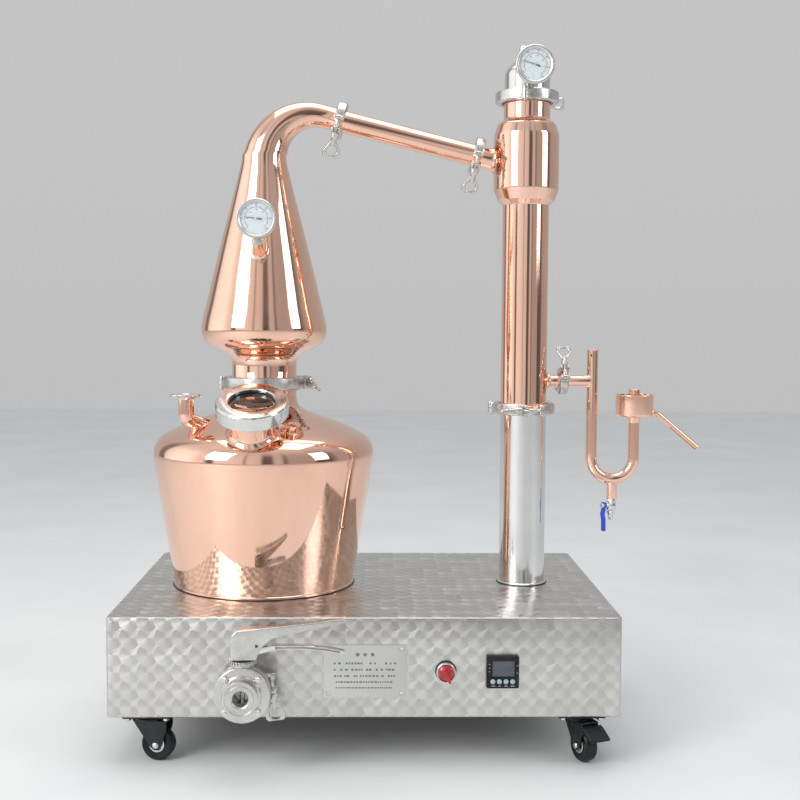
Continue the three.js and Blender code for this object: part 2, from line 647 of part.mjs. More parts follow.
function condenserColumn() {
  const bore = COLUMN.r - COLUMN.wall;
  const filled = lathe([
    [0, COLUMN_FOOT], ...footFlange(CLAMP.column, COLUMN_FOOT), ...COLUMN_PROFILE,
    ...flange(CLAMP.column, COLUMN_TOP), [0, COLUMN_TOP],
  ], 18);
  // The space above and below the plate that the coil's two ends pass through.
  const above = lathe([
    [0, SUMP + 3], [bore, SUMP + 3], ...COLUMN_PROFILE.map(([r, z]) => [r - COLUMN.wall, z]),
    [bore, COLUMN_TOP + 1], [0, COLUMN_TOP + 1],
  ], 18);
  const below = rod(bore, COLUMN_FOOT - 1, SUMP, 18);
  const inletFace = step(lyneTo, lyneDirection, GASKET);
  const inletAt = [inletFace[0] - COLUMN.x, 0, inletFace[2]];
  const inlet = lathe([
    [0, 0], ...footFlange(CLAMP.pipe, 0), [LYNE.r, 15], [23, 22], [28, 25], [28, 29],
    [LYNE.r, 29], [LYNE.r, 48], [0, 48],
  ], 16);
  const outletEnd = OUTLET_FACE - COLUMN.x - GASKET / 2;
  const outlet = lathe([
    [0, 30], [13, 30], [13, 40], [PARROT.r, 43], ...flange(CLAMP.outlet, outletEnd), [0, outletEnd],
  ], 12);
  const outletBore = rod(PARROT.r - PARROT.wall, 0, outletEnd + 1);
  const outletAt = [0, 0, PARROT.outlet];
  const geometry = cut(
    join(filled, along(inlet, lyneDirection, inletAt), along(outlet, [1, 0, 0], outletAt)),
    above, below,
    along(rod(LYNE.r - LYNE.wall, -1, 52, 16), lyneDirection, inletAt),
    along(outletBore, [1, 0, 0], outletAt),
    coilHole(0), coilHole(COIL.r),
  );
  return node("condenser_column", geometry, copper, COLUMN.x, 0, 0);
}

const SUMP = 532; // underside of the plate that closes the column above its foot
const COIL = { r: 24, tube: 3.5, bottom: 560, top: 800, turns: 6 };
const coilHole = (x) => rod(COIL.tube + 1, SUMP - 2, SUMP + 5, 8).translate(x, 0, 0);

// Cooling-water coil with its supply and return legs down into the base.
function coolingCoil() {
  const { r, tube, bottom, top, turns } = COIL;
  const perTurn = 8;
  const points = [
    new THREE.Vector3(r, 0, 180), new THREE.Vector3(r, 0, 300), new THREE.Vector3(r, 0, 500),
    new THREE.Vector3(r, 0, bottom - 12),
  ];
  for (let i = 0; i <= turns * perTurn; i++) {
    const a = (i / perTurn) * 2 * Math.PI;
    const z = bottom + (top - bottom) * (i / (turns * perTurn));
    points.push(new THREE.Vector3(r * Math.cos(a), r * Math.sin(a), z));
  }
  points.push(
    new THREE.Vector3(r - 6, 4, top + 12), new THREE.Vector3(8, 4, top + 20),
    new THREE.Vector3(0, 0, top + 6), new THREE.Vector3(0, 0, top - 40),
    new THREE.Vector3(0, 0, 500), new THREE.Vector3(0, 0, 180),
  );
  const curve = new THREE.CatmullRomCurve3(points, false, "catmullrom", 0.35);
  return node("cooling_coil", bar(curve, tube, 80, 4), copper, COLUMN.x, 0, 0);
}

const CAP_BOTTOM = COLUMN_TOP + GASKET;
const CAP = { r: 37, top: 1083 };
const CAP_GAUGE = { x: 3, y: -62, z: 1062 };

function columnCap() {
  const [outer, inner] = [CAP.r, CAP.r - 2];
  const size = { ...CLAMP.column, tube: CAP.r };
  const filled = lathe([
    [0, CAP_BOTTOM], ...footFlange(size, CAP_BOTTOM), [outer, 1062], [34, 1073], [25, 1080],
    [14, CAP.top], [0, CAP.top],
  ], 18);
  const hollow = lathe([
    [0, CAP_BOTTOM - 1], [inner, CAP_BOTTOM - 1], [inner, 1061], [28, 1074], [0, 1080],
  ], 18);
  const boss = along(rod(8, 20, 44, 10), [0, -1, 0], [0, 0, CAP_GAUGE.z - 8]);
  const bossBore = along(rod(4.6, 15, 45, 10), [0, -1, 0], [0, 0, CAP_GAUGE.z - 8]);
  const nipple = lathe([
    [0, CAP.top - 1], [6, CAP.top - 1], [6, 1090], [4, 1090], [4, 1096], [7, 1098], [7, 1104],
    [5, 1106], [0, 1106],
  ], 8);
  const geometry = cut(join(filled, boss, nipple.translate(-7, 0, 0)), hollow, bossBore);
  return node("column_cap", geometry, steel, COLUMN.x, 0, 0);
}

function columnStand() {
  const top = COLUMN_FOOT - GASKET;
  const [foot, bore] = [DECK + GAP, COLUMN.r - COLUMN.wall];
  const profile = [
    [bore, foot], [COLUMN.r + 2, foot], [COLUMN.r, foot + 3], ...flange(CLAMP.column, top),
    [bore, top], [bore, foot],
  ];
  return node("column_stand", lathe(profile, 18), steel, COLUMN.x, 0, 0);
}

// ---------------------------------------------------------------- thermometers

const DIAL = { r: 31, depth: 14, face: 25.5 };

// A dial thermometer looking up +Z: the case with its shallow well, and the pointer inside it.
function thermometer(name, stem, pointerAngle) {
  const { r, depth, face } = DIAL;
  const shell = lathe([
    [0, 0], [r - 4, 0], [r - 1, 3], [r, 5], [r, depth - 2], [r - 1.5, depth],
    [face + 1.5, depth], [face, depth - 1.5], [face, depth - 5], [0, depth - 5],
  ], 20);
  const spindle = cut(join(shell, stem), rod(1.5, depth - 8, depth + 1, 8));
  const needle = join(
    rod(2.4, depth - 4.4, depth - 3, 8),
    rod(0.9, depth - 7.4, depth - 4, 6),
    box(20, 1.3, 0.8, -9, 0, depth - 4),
    box(8, 2.4, 0.8, 5, 0, depth - 4),
  ).rotateZ(pointerAngle * DEG);
  return [node(`${name}_thermometer`, spindle, dial), node(`${name}_pointer`, needle, inkBlack)];
}

function headThermometer() {
  const centre = [POT.x, wellEnd[1] - 22, 812];
  // From the back of the case down into the thermowell, in the dial's own frame.
  const toWell = new THREE.Vector3(0, wellEnd[2] - centre[2], centre[1] - wellEnd[1]);
  const stemDirection = [0, -wellAxis[2], wellAxis[1]];
  const probe = along(rod(5, -2, 62, 8), stemDirection, toWell.toArray());
  const nut = along(rod(13, -11, -1, 6), stemDirection, toWell.toArray());
  const bridge = box(14, 36, 10, 0, -21, -8);
  const group = groupAt(...centre, ...thermometer("head", join(probe, nut, bridge), -7));
  group.rotation.x = Math.PI / 2;
  return group;
}

function capThermometer() {
  const { x, y, z } = CAP_GAUGE;
  const stem = join(
    along(rod(4, -2, 62, 8), [0, 0, -1], [-x, -8, 0]),
    along(rod(9, 6, 15, 6), [0, 0, -1], [-x, -8, 0]),
    along(rod(6, -2, 8, 8), [0, 0, -1], [-x, -8, 0]),
  );
  const group = groupAt(COLUMN.x + x, y, z, ...thermometer("cap", stem, -19));
  group.rotation.x = Math.PI / 2;
  return group;
}

// ---------------------------------------------------------------- parrot

const OUTLET_FACE = 325; // x of the joint between the column's outlet and the parrot
const CUP = { x: 446, r: 31, bottom: 500, top: 537, pipeTop: 545 };

// The bent tube from the top vent, round the bottom bend and up to the cup, at radius r.
function parrotBend(r, extra = 0) {
  const { x, bendR, bendZ } = PARROT;
  const stations = [{ x, z: 611 + extra, r, t: [0, 0, -1] }, { x, z: 500, r, t: [0, 0, -1] }];
  const steps = 9;
  for (let i = 0; i <= steps; i++) {
    const a = Math.PI + (i / steps) * Math.PI;
    stations.push({
      x: x + bendR + bendR * Math.cos(a), z: bendZ + bendR * Math.sin(a), r,
      t: [-Math.sin(a), 0, Math.cos(a)],
    });
  }
  stations.push({ x: x + 2 * bendR, z: CUP.pipeTop + extra, r, t: [0, 0, 1] });
  return sweep(stations, 10);
}

// Thin spout from the foot of the cup down to the right.
function parrotSpout(r, extra = 0) {
  const u = [0.765, -0.644];
  const tip = 82 + extra;
  return sweep([
    { x: CUP.x + CUP.r - 5, z: 506.5, r, t: [1, 0, 0] },
    { x: CUP.x + CUP.r + 3, z: 506, r, t: [0.97, 0, -0.24] },
    { x: CUP.x + CUP.r + 12, z: 501.5, r, t: [0.83, 0, -0.55] },
    { x: CUP.x + CUP.r + 12 + u[0] * tip, z: 501.5 + u[1] * tip, r, t: [u[0], 0, u[1]] },
  ], 8);
}

const DRAIN_STUB = { x: 409, bottom: 362, r: 9 };

function parrot() {
  const { r, wall, outlet, x } = PARROT;
  const { x: cupX, r: cupR, bottom, top } = CUP;
  const from = OUTLET_FACE + GASKET / 2;
  const reach = x - from;
  const inlet = lathe([[0, 0], ...footFlange(CLAMP.outlet, 0), [r, reach], [0, reach]], 12);
  const cup = lathe([
    [0, bottom], [cupR, bottom], [cupR, top], [cupR - 1.5, top], [cupR - 1.5, bottom + 2], [0, bottom + 2],
  ], 20);
  const stub = rod(DRAIN_STUB.r, DRAIN_STUB.bottom, 396, 10);
  const stubBore = rod(5, DRAIN_STUB.bottom - 1, 396, 8);
  const skin = join(
    parrotBend(r),
    along(inlet, [1, 0, 0], [from, 0, outlet]),
    cup.translate(cupX, 0, 0),
    stub.translate(DRAIN_STUB.x, 0, 0),
    parrotSpout(5),
  );
  const geometry = cut(
    skin,
    parrotBend(r - wall, 2),
    along(rod(r - wall, -1, reach), [1, 0, 0], [from, 0, outlet]),
    parrotSpout(3.8, 3),
    stubBore.translate(DRAIN_STUB.x, 0, 0),
    along(rod(2.3, -12, 12, 6), [0.35, 1, 0], [x, 0, 601]),
    along(rod(2.3, -12, 12, 6), [1, -0.35, 0], [x, 0, 601]),
  );
  return node("parrot", geometry, copper);
}

// Mini ball valve under the parrot's bend. Its stem points to the front left.
const TAP = { turn: 30, stemZ: 352 };

function parrotValve() {
  const top = DRAIN_STUB.bottom - GAP;
  const body = lathe([
    [0, top], [7.6, top], [7.6, top - 9], [8.4, top - 10], [8.4, top - 16], [6, top - 20],
    [5, top - 24], [5, top - 27], [3.6, top - 28], [3.6, top - 35], [2.4, top - 35],
    [2.4, top - 24], [0, top - 24],
  ], 12);
  const boss = along(rod(4.5, 4, 12, 10), [-1, 0, 0], [0, 0, TAP.stemZ]);
  const stem = along(rod(2.4, 12 + GAP, 20, 8), [-1, 0, 0], [0, 0, TAP.stemZ]);
  const nut = along(rod(4.4, 14.8, 18.5, 6), [-1, 0, 0], [0, 0, TAP.stemZ]);
  const side = new THREE.Shape([
    new THREE.Vector2(-17.5, 5), new THREE.Vector2(-14, 5), new THREE.Vector2(-14, -8),
    new THREE.Vector2(-16, -14), new THREE.Vector2(-14, -24), new THREE.Vector2(-14, -43),
    new THREE.Vector2(-17, -44), new THREE.Vector2(-17, -24), new THREE.Vector2(-19.5, -14),
    new THREE.Vector2(-17.5, -8),
  ]);
  const arm = new THREE.ExtrudeGeometry(side, { depth: 9, bevelEnabled: false })
    .rotateX(Math.PI / 2)
    .translate(0, 4.5, TAP.stemZ);
  const group = groupAt(
    DRAIN_STUB.x, 0, 0,
    node("parrot_valve_body", join(body, boss), steel),
    node("parrot_valve_lever", join(arm, stem, nut), bluePlastic),
  );
  group.rotation.z = TAP.turn * DEG;
  return group;
}

// ---------------------------------------------------------------- drain butterfly valve

const VALVE = { body: 40, half: 12, face: 31, stem: 4, bore: 11 };

// Made about its own flow axis: z runs to the front, y runs up.
function valveBody() {
  const { body, half, face, bore } = VALVE;
  const size = { ferrule: CLAMP.pipe.ferrule, tube: 13.5 };
  const shell = lathe([
    [bore, -face], ...footFlange(size, -face), [13.5, -half - 12], [26, -half - 3], [body, -half],
    [body, half], [26, half + 3], [13.5, half + 12], ...flange(size, face), [bore, face], [bore, -face],
  ], 20);
  const neck = along(rod(11, 24, 46, 10), [0, 1, 0]);
  const teeth = Array.from({ length: 5 }, (_, i) => {
    const a = (i * 22.5 - 45) * DEG;
    return box(2.4, 4, 5, 0, 0, 0)
      .translate(0, -20.2, 45)
      .rotateZ(a)
      .applyMatrix4(new THREE.Matrix4().makeRotationX(-Math.PI / 2));
  });
  const quadrant = along(rod(19, 45.5, 48.5, 16), [0, 1, 0]);
  const bolts = [45, 135, 225, 315].map((a) =>
    rod(3.6, -half - 3.5, half + 3.5, 6).translate(33 * Math.cos(a * DEG), 33 * Math.sin(a * DEG), 0));
  const stemBore = along(rod(VALVE.stem + 0.7, -16, 60, 10), [0, 1, 0]);
  const flow = rod(bore, -face - 1, face + 1, 20);
  return cut(join(shell, neck, quadrant, ...teeth, ...bolts), stemBore, flow);
}

// Disc on its stem, closed across the bore at rest.
function valveDisc() {
  const plug = lathe([[0, -1.2], [9.4, -1.2], [9.8, 0], [9.4, 1.2], [0, 1.2]], 16);
  const stem = along(rod(VALVE.stem, -13, 56, 10), [0, 1, 0]);
  return join(plug, stem);
}

// Pull handle: upright housing on the stem and a long tapering arm to the right.
function valveHandle() {
  const outline = new THREE.Shape()
    .moveTo(-16, 50)
    .lineTo(-15, 84)
    .quadraticCurveTo(-13, 91, -5, 92)
    .lineTo(146, 107)
    .quadraticCurveTo(149, 104, 146, 101)
    .lineTo(96, 90)
    .quadraticCurveTo(40, 84, 24, 66)
    .lineTo(20, 50)
    .lineTo(-16, 50);
  const slab = new THREE.ExtrudeGeometry(outline, { depth: 26, curveSegments: 5, bevelEnabled: false })
    .translate(0, 0, -13);
  const taper = box(160, 60, 30, 108, 110, -15);
  const left = taper.clone().applyMatrix4(new THREE.Matrix4().makeRotationY(-5 * DEG)).translate(0, 0, 26);
  const right = taper.clone().applyMatrix4(new THREE.Matrix4().makeRotationY(5 * DEG)).translate(0, 0, -26);
  const inside = box(70, 30, 15, 40, 66, -7.5);
  const socket = along(rod(VALVE.stem + GAP, 49, 57, 12), [0, 1, 0]);
  return cut(slab, inside, left, right, socket);
}

// Squeeze lever under the arm that lifts the catch out of the notches.
function valveTrigger() {
  const side = new THREE.Shape()
    .moveTo(10, 54)
    .lineTo(44, 63)
    .quadraticCurveTo(90, 68, 144, 58)
    .lineTo(145, 62)
    .quadraticCurveTo(90, 73, 42, 70)
    .lineTo(10, 64)
    .lineTo(10, 54);
  return new THREE.ExtrudeGeometry(side, { depth: 12, curveSegments: 5, bevelEnabled: false })
    .translate(0, 0, -6);
}

const VALVE_Y = DRAIN.ferruleY - GASKET - VALVE.face;

function drainValve() {
  const group = groupAt(
    DRAIN.x, VALVE_Y, DRAIN.z,
    node("drain_valve_body", valveBody(), steel),
    node("drain_valve_disc", valveDisc(), steel),
    node("drain_valve_handle", valveHandle(), steel),
    node("drain_valve_trigger", valveTrigger(), steel),
  );
  group.rotation.x = Math.PI / 2;
  return group;
}

// ---------------------------------------------------------------- the whole still

const still = new THREE.Group();
still.add(
  node("base_cabinet", baseCabinet(), satin),
  nameplate(),
  selector(),
  controller(),
  servicePlate(),
  caster("front_left", -CASTER_X, -CASTER_Y, -12, false),
  caster("front_right", CASTER_X, -CASTER_Y, -68, true),
  caster("rear_left", -CASTER_X, CASTER_Y, 35, true),
  caster("rear_right", CASTER_X, CASTER_Y, 160, false),
  pot(),
  sightGlass(),
  heatingElement(),
  drainPipe(),
  clampAt("pot", CLAMP.pot, [POT.x, 0, NECK_TOP + GASKET / 2], [0, 0, -1], [0.97, 0.25, 0], { wing: 35 }),
  head(),
  headThermometer(),
  clampAt(
    "head", CLAMP.pipe, step(lyneStart(), lyneDirection, GASKET / 2), lyneDirection, [0, -1, -0.3],
    { wing: -25 }),
  node("lyne_arm", flangedPipe(lyneFrom, lyneDirection, LYNE_LENGTH), copper),
  clampAt(
    "lyne", CLAMP.pipe, step(lyneTo, lyneDirection, GASKET / 2), lyneDirection, [0, -1, -0.3],
    { wing: -25 }),
  condenserColumn(),
  coolingCoil(),
  columnCap(),
  capThermometer(),
  clampAt(
    "cap", CLAMP.column, [COLUMN.x, 0, COLUMN_TOP + GASKET / 2], [0, 0, -1], [0.19, 0.98, 0],
    { wing: 60 }),
  columnStand(),
  clampAt(
    "column", CLAMP.column, [COLUMN.x, 0, COLUMN_FOOT - GASKET / 2], [0, 0, -1], [0.15, -1, 0],
    { wing: 90, hinges: [120, -120] }),
  clampAt("outlet", CLAMP.outlet, [OUTLET_FACE, 0, PARROT.outlet], [-1, 0, 0], [0, -0.87, 0.5]),
  parrot(),
  parrotValve(),
  drainValve(),
  clampAt(
    "drain", CLAMP.pipe, [DRAIN.x, DRAIN.ferruleY - GASKET / 2, DRAIN.z], [0, 1, 0], [0.99, 0, 0.13],
    { wing: 90 }),
);

// The origin moves from the base's middle to the middle of the whole outline.
const outline = new THREE.Box3().setFromObject(still);
const middle = outline.getCenter(new THREE.Vector3());
still.position.set(-middle.x, -middle.y, 0);

export default still;
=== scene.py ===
import math
import random
from functools import partial

import bmesh
import bpy
from mathutils import Matrix, Vector
from mathutils.bvhtree import BVHTree


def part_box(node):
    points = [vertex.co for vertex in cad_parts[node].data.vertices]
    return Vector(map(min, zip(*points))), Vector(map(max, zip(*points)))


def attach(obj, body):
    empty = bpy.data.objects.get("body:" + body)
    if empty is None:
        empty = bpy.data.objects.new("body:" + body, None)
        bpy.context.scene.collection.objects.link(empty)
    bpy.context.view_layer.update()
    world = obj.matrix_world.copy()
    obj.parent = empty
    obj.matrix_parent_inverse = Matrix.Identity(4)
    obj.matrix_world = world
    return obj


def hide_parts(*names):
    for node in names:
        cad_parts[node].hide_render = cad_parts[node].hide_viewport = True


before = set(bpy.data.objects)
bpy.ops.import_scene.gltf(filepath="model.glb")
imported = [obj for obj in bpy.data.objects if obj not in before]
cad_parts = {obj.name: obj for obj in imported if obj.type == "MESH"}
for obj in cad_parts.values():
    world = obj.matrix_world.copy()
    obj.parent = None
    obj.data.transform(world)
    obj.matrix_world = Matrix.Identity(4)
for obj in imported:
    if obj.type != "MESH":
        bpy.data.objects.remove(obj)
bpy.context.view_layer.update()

# Copper pot still on a wheeled stainless base. Shapes are written in millimetres from the point
# on the floor under the middle of the base; piece() turns them into metres in the row frame.

LOW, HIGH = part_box("base_cabinet")
ORIGIN = Vector(((LOW.x + HIGH.x) / 2, (LOW.y + HIGH.y) / 2, 0))
DEG = math.pi / 180
HOME = Matrix.Identity(4)
MM = 0.001


def unit(*v):
    return Vector(v).normalized()


def move(x=0, y=0, z=0):
    return Matrix.Translation((x, y, z))


def turn(degrees, axis="Z"):
    return Matrix.Rotation(degrees * DEG, 4, axis)


def facing(position, axis, up=(0, 0, 1)):
    """Placement whose z runs along axis and whose y leans towards up."""
    z = Vector(axis).normalized()
    y = Vector(up)
    y = (y - z * y.dot(z)).normalized()
    placed = Matrix((y.cross(z), y, z)).transposed().to_4x4()
    placed.translation = Vector(position)
    return placed


# ---------------------------------------------------------------- shapes: (vertices, faces)


def soften(points, closed=False, steps=5):
    """Rounds each corner whose third number gives a fillet radius."""
    out, count = [], len(points)
    for i, p in enumerate(points):
        radius = p[2] if len(p) > 2 else 0
        if not radius or (not closed and i in (0, count - 1)):
            out.append((p[0], p[1]))
            continue
        corner = Vector(p[:2])
        u = Vector(points[i - 1][:2]) - corner
        v = Vector(points[(i + 1) % count][:2]) - corner
        lu, lv = u.length, v.length
        u, v = u / lu, v / lv
        half = u.angle(v, math.pi) / 2
        if half > math.pi / 2 - 0.02:
            out.append((p[0], p[1]))
            continue
        reach = min(radius / math.tan(half), lu * 0.49, lv * 0.49)
        centre = corner + (u + v).normalized() * (reach / math.cos(half))
        a, b = corner + u * reach - centre, corner + v * reach - centre
        spread = a.angle(b, 0)
        for k in range(steps + 1):
            t = k / steps
            q = (a * math.sin((1 - t) * spread) + b * math.sin(t * spread)) / math.sin(spread) + centre
            out.append((q.x, q.y))
    return out


def spline(points, per=8):
    """Centripetal Catmull-Rom curve through the points."""
    pts = [Vector(p) for p in points]
    pts = [pts[0] * 2 - pts[1]] + pts + [pts[-1] * 2 - pts[-2]]
    out = []
    for i in range(1, len(pts) - 2):
        p0, p1, p2, p3 = pts[i - 1:i + 3]
        t1 = (p1 - p0).length ** 0.5
        t2 = t1 + (p2 - p1).length ** 0.5
        t3 = t2 + (p3 - p2).length ** 0.5
        for k in range(per):
            t = t1 + (t2 - t1) * k / per
            a1 = p0 * ((t1 - t) / t1) + p1 * (t / t1)
            a2 = p1 * ((t2 - t) / (t2 - t1)) + p2 * ((t - t1) / (t2 - t1))
            a3 = p2 * ((t3 - t) / (t3 - t2)) + p3 * ((t - t2) / (t3 - t2))
            b1 = a1 * ((t2 - t) / t2) + a2 * (t / t2)
            b2 = a2 * ((t3 - t) / (t3 - t1)) + a3 * ((t - t1) / (t3 - t1))
            out.append(b1 * ((t2 - t) / (t2 - t1)) + b2 * ((t - t1) / (t2 - t1)))
    return out + [pts[-2]]


def add(name, data):
    """New object in the scene."""
    o = bpy.data.objects.new(name, data)
    bpy.context.scene.collection.objects.link(o)
    return o


def mesh_of(name, shape, scale, weld):
    """Mesh with doubles within the weld distance merged and its faces turned outwards."""
    mesh = bpy.data.meshes.new(name)
    mesh.from_pydata([tuple(Vector(v) * scale) for v in shape[0]], [], [list(f) for f in shape[1]])
    bm = bmesh.new()
    bm.from_mesh(mesh)
    bmesh.ops.remove_doubles(bm, verts=bm.verts, dist=weld)
    bmesh.ops.recalc_face_normals(bm, faces=bm.faces)
    bm.to_mesh(mesh)
    bm.free()
    return mesh


def taken(holder):
    """Shape of an object after its modifiers; the object is removed."""
    mesh = bpy.data.meshes.new_from_object(holder.evaluated_get(bpy.context.evaluated_depsgraph_get()))
    shape = [v.co.copy() for v in mesh.vertices], [list(p.vertices) for p in mesh.polygons]
    bpy.data.objects.remove(holder)
    bpy.data.meshes.remove(mesh)
    return shape


def join(*shapes):
    verts, faces = [], []
    for v, f in shapes:
        base = len(verts)
        verts += [Vector(p) for p in v]
        faces += [[i + base for i in face] for face in f]
    return verts, faces


def put(shape, *matrices):
    verts = [Vector(v) for v in shape[0]]
    for m in reversed(matrices):
        verts = [m @ v for v in verts]
    return verts, shape[1]


def skin(rings, closed=False):
    """Faces between rings of vertex numbers; a pole is one number repeated."""
    faces = []
    pairs = list(zip(rings, rings[1:])) + ([(rings[-1], rings[0])] if closed else [])
    for a, b in pairs:
        n = len(a)
        for k in range(n):
            quad = list(dict.fromkeys((a[k], a[(k + 1) % n], b[(k + 1) % n], b[k])))
            if len(quad) > 2:
                faces.append(quad)
    return faces


def lathe(profile, n=64, closed=False, arc=None, steps=5):
    """Solid of revolution about z; arc = (from, to) degrees from +x leaves flat ends."""
    pts = soften(profile, closed, steps)
    verts, rings = [], []
    columns = n if arc is None else n + 1
    first, span = (0, 360) if arc is None else (arc[0], arc[1] - arc[0])
    for r, z in pts:
        base = len(verts)
        if r < 1e-6:
            verts.append((0, 0, z))
            rings.append([base] * columns)
            continue
        for k in range(columns):
            a = (first + span * k / n) * DEG
            verts.append((r * math.cos(a), r * math.sin(a), z))
        rings.append(list(range(base, base + columns)))
    if arc is None:
        return verts, skin(rings, closed)
    faces = []
    for a, b in list(zip(rings, rings[1:])) + ([(rings[-1], rings[0])] if closed else []):
        faces += [[a[k], a[k + 1], b[k + 1], b[k]] for k in range(n)]
    return verts, faces + [[r[0] for r in rings], [r[-1] for r in reversed(rings)]]


def rod(r, z0, z1, n=32, edge=0.4):
    return lathe([(0, z0), (r, z0, edge), (r, z1, edge), (0, z1)], n, steps=2)


def tube(path, radius, n=24, bore=None):
    """Round section swept along a path; with a bore it is open at both ends."""
    path = [Vector(p) for p in path]
    last = len(path) - 1
    radii = list(radius) if hasattr(radius, "__len__") else [radius] * (last + 1)
    tangents = [(path[min(i + 1, last)] - path[max(i - 1, 0)]).normalized() for i in range(last + 1)]
    across = tangents[0].orthogonal().normalized()
    frames = []
    for i, t in enumerate(tangents):
        if i:
            across = tangents[i - 1].rotation_difference(t) @ across
        frames.append((across, t.cross(across)))
    layers = [(i, radii[i]) for i in range(last + 1)]
    if bore is not None:
        layers += [(i, bore) for i in range(last, -1, -1)]
    verts, rings = [], []
    for i, r in layers:
        u, v = frames[i]
        rings.append(list(range(len(verts), len(verts) + n)))
        for k in range(n):
            a = 2 * math.pi * k / n
            verts.append(path[i] + u * (r * math.cos(a)) + v * (r * math.sin(a)))
    faces = skin(rings, bore is not None)
    if bore is None:
        faces += [list(reversed(rings[0])), rings[-1]]
    return verts, faces


def plate(outline, thickness, holes=(), edge=0.4, z=0, steps=5):
    """Flat plate from z up, with rounded edges; holes are outlines or (x, y, r)."""
    curve = bpy.data.curves.new("outline", "CURVE")
    curve.dimensions, curve.fill_mode = "2D", "BOTH"
    curve.extrude, curve.bevel_depth = thickness / 2 - edge, edge
    curve.bevel_resolution, curve.offset = 2, -edge
    loops = [soften(outline, True, steps)]
    for hole in holes:
        if isinstance(hole, tuple):
            x, y, r = hole
            hole = [(x + r * math.cos(k * math.pi / 16),
                     y + r * math.sin(k * math.pi / 16)) for k in range(32)]
        loops.append(soften(hole, True, steps))
    for loop in loops:
        s = curve.splines.new("POLY")
        s.points.add(len(loop) - 1)
        for point, (x, y) in zip(s.points, loop):
            point.co = (x, y, 0, 1)
        s.use_cyclic_u = True
    shape = put(taken(add("outline", curve)), move(0, 0, z + thickness / 2))
    bpy.data.curves.remove(curve)
    return shape


def rectangle(width, height, corner=1, x=0, y=0):
    w, h = width / 2, height / 2
    return [(x - w, y - h, corner), (x + w, y - h, corner), (x + w, y + h, corner), (x - w, y + h, corner)]


def block(width, depth, height, corner=1, edge=0.5, x=0, y=0, z=0):
    return plate(rectangle(width, depth, corner, x, y), height, edge=edge, z=z)


def hexagon(r, z0, z1):
    """Hexagonal head with a chamfered end."""
    return lathe([(0, z0), (r, z0), (r, z1 - 0.8), (r * 0.86, z1), (0, z1)], 6)


def screw(r, z0, z1, pitch=1.5):
    """Threaded rod."""
    turns = max(1, int((z1 - z0) / pitch))
    profile = [(0, z0)]
    for i in range(turns):
        profile += [(r - 0.45, z0 + i * pitch), (r, z0 + (i + 0.5) * pitch)]
    return lathe(profile + [(r - 0.45, z1), (0, z1)], 20)


def scratch(shape):
    return add("scratch", mesh_of("scratch", shape, 1, 1e-3))


def boolean(shape, tools, operation="DIFFERENCE"):
    body = scratch(shape)
    cutters = [scratch(t) for t in tools]
    for c in cutters:
        m = body.modifiers.new("cut", "BOOLEAN")
        m.operation, m.object, m.solver = operation, c, "EXACT"
    out = taken(body)
    for c in cutters:
        bpy.data.objects.remove(c)
    return out


def tree_of(shape):
    return BVHTree.FromPolygons([Vector(v) for v in shape[0]], [list(f) for f in shape[1]])


def collar(surface, origin, axis, r, fillet, far=60, n=64, rows=8, run=None):
    """Fillet where a branch of radius r along axis leaves a surface.

    With run, the surface is a tube along that direction, hardly wider than the branch.
    """
    place = facing(origin, axis, run or (0.31, 0.17, 0.9))
    axis = Vector(axis).normalized()
    verts, rings = [], []
    for i in range(-1, rows + 2):
        t = min(max(i, 0), rows) / rows * math.pi / 2
        rho = r + fillet * (1 - math.cos(t))
        lift = fillet * (1 - math.sin(t)) + (fillet * 0.4 if i < 0 else 0) - (0.5 if i > rows else 0)
        ring = []
        for k in range(n):
            a = 2 * math.pi * k / n
            wide, pull = (r * 0.99, abs(math.sin(a))) if run else (rho, 1)
            start = place @ Vector((wide * math.cos(a), rho * math.sin(a), far))
            hit = surface.ray_cast(start, -axis)[0]
            ring.append(len(verts))
            verts.append((hit if hit else start - axis * far) + axis * lift * pull)
        rings.append(ring)
    return verts, skin(rings)


def text(words, size):
    """Numerals as a thin solid, centred on the origin."""
    curve = bpy.data.curves.new("numeral", "FONT")
    curve.body, curve.size, curve.extrude = words, size, 0.04
    curve.align_x, curve.align_y = "CENTER", "CENTER"
    return taken(add("numeral", curve))


def piece(name, shape, finish, body="frame", nodes=(), place=HOME, crease=32, unwrap=False):
    """Makes one piece in metres, riding on a CAD body and standing for CAD nodes."""
    mesh = mesh_of(name, shape, MM, 2e-6)
    mesh.polygons.foreach_set("use_smooth", [True] * len(mesh.polygons))
    mesh.set_sharp_from_angle(angle=crease * DEG)
    if unwrap:
        layer = mesh.uv_layers.new(name="UVMap")
        for polygon in mesh.polygons:
            n = [abs(v) for v in polygon.normal]
            u, v = ((0, 1), (0, 2), (1, 2))[0 if n[2] >= max(n[:2]) else 1 if n[1] >= n[0] else 2]
            for i in polygon.loop_indices:
                co = mesh.vertices[mesh.loops[i].vertex_index].co
                layer.data[i].uv = (co[u], co[v])
    mesh.materials.append(MATERIAL[finish])
    o = add(name, mesh)
    placed = place.copy()
    placed.translation = placed.translation * MM + ORIGIN
    o.matrix_world = placed
    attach(o, body)
    if nodes:
        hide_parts(*nodes)
    return o


# ---------------------------------------------------------------- materials


def feed(tree, value, socket):
    """Links a socket to an input, or sets the input's value."""
    if isinstance(value, bpy.types.NodeSocket):
        tree.links.new(value, socket)
    else:
        socket.default_value = value


def add_node(tree, kind, inputs=(), **settings):
    n = tree.nodes.new("ShaderNode" + kind)
    for key, value in settings.items():
        setattr(n, key, value)
    for key, value in dict(inputs).items():
        feed(tree, value, n.inputs[key])
    return n


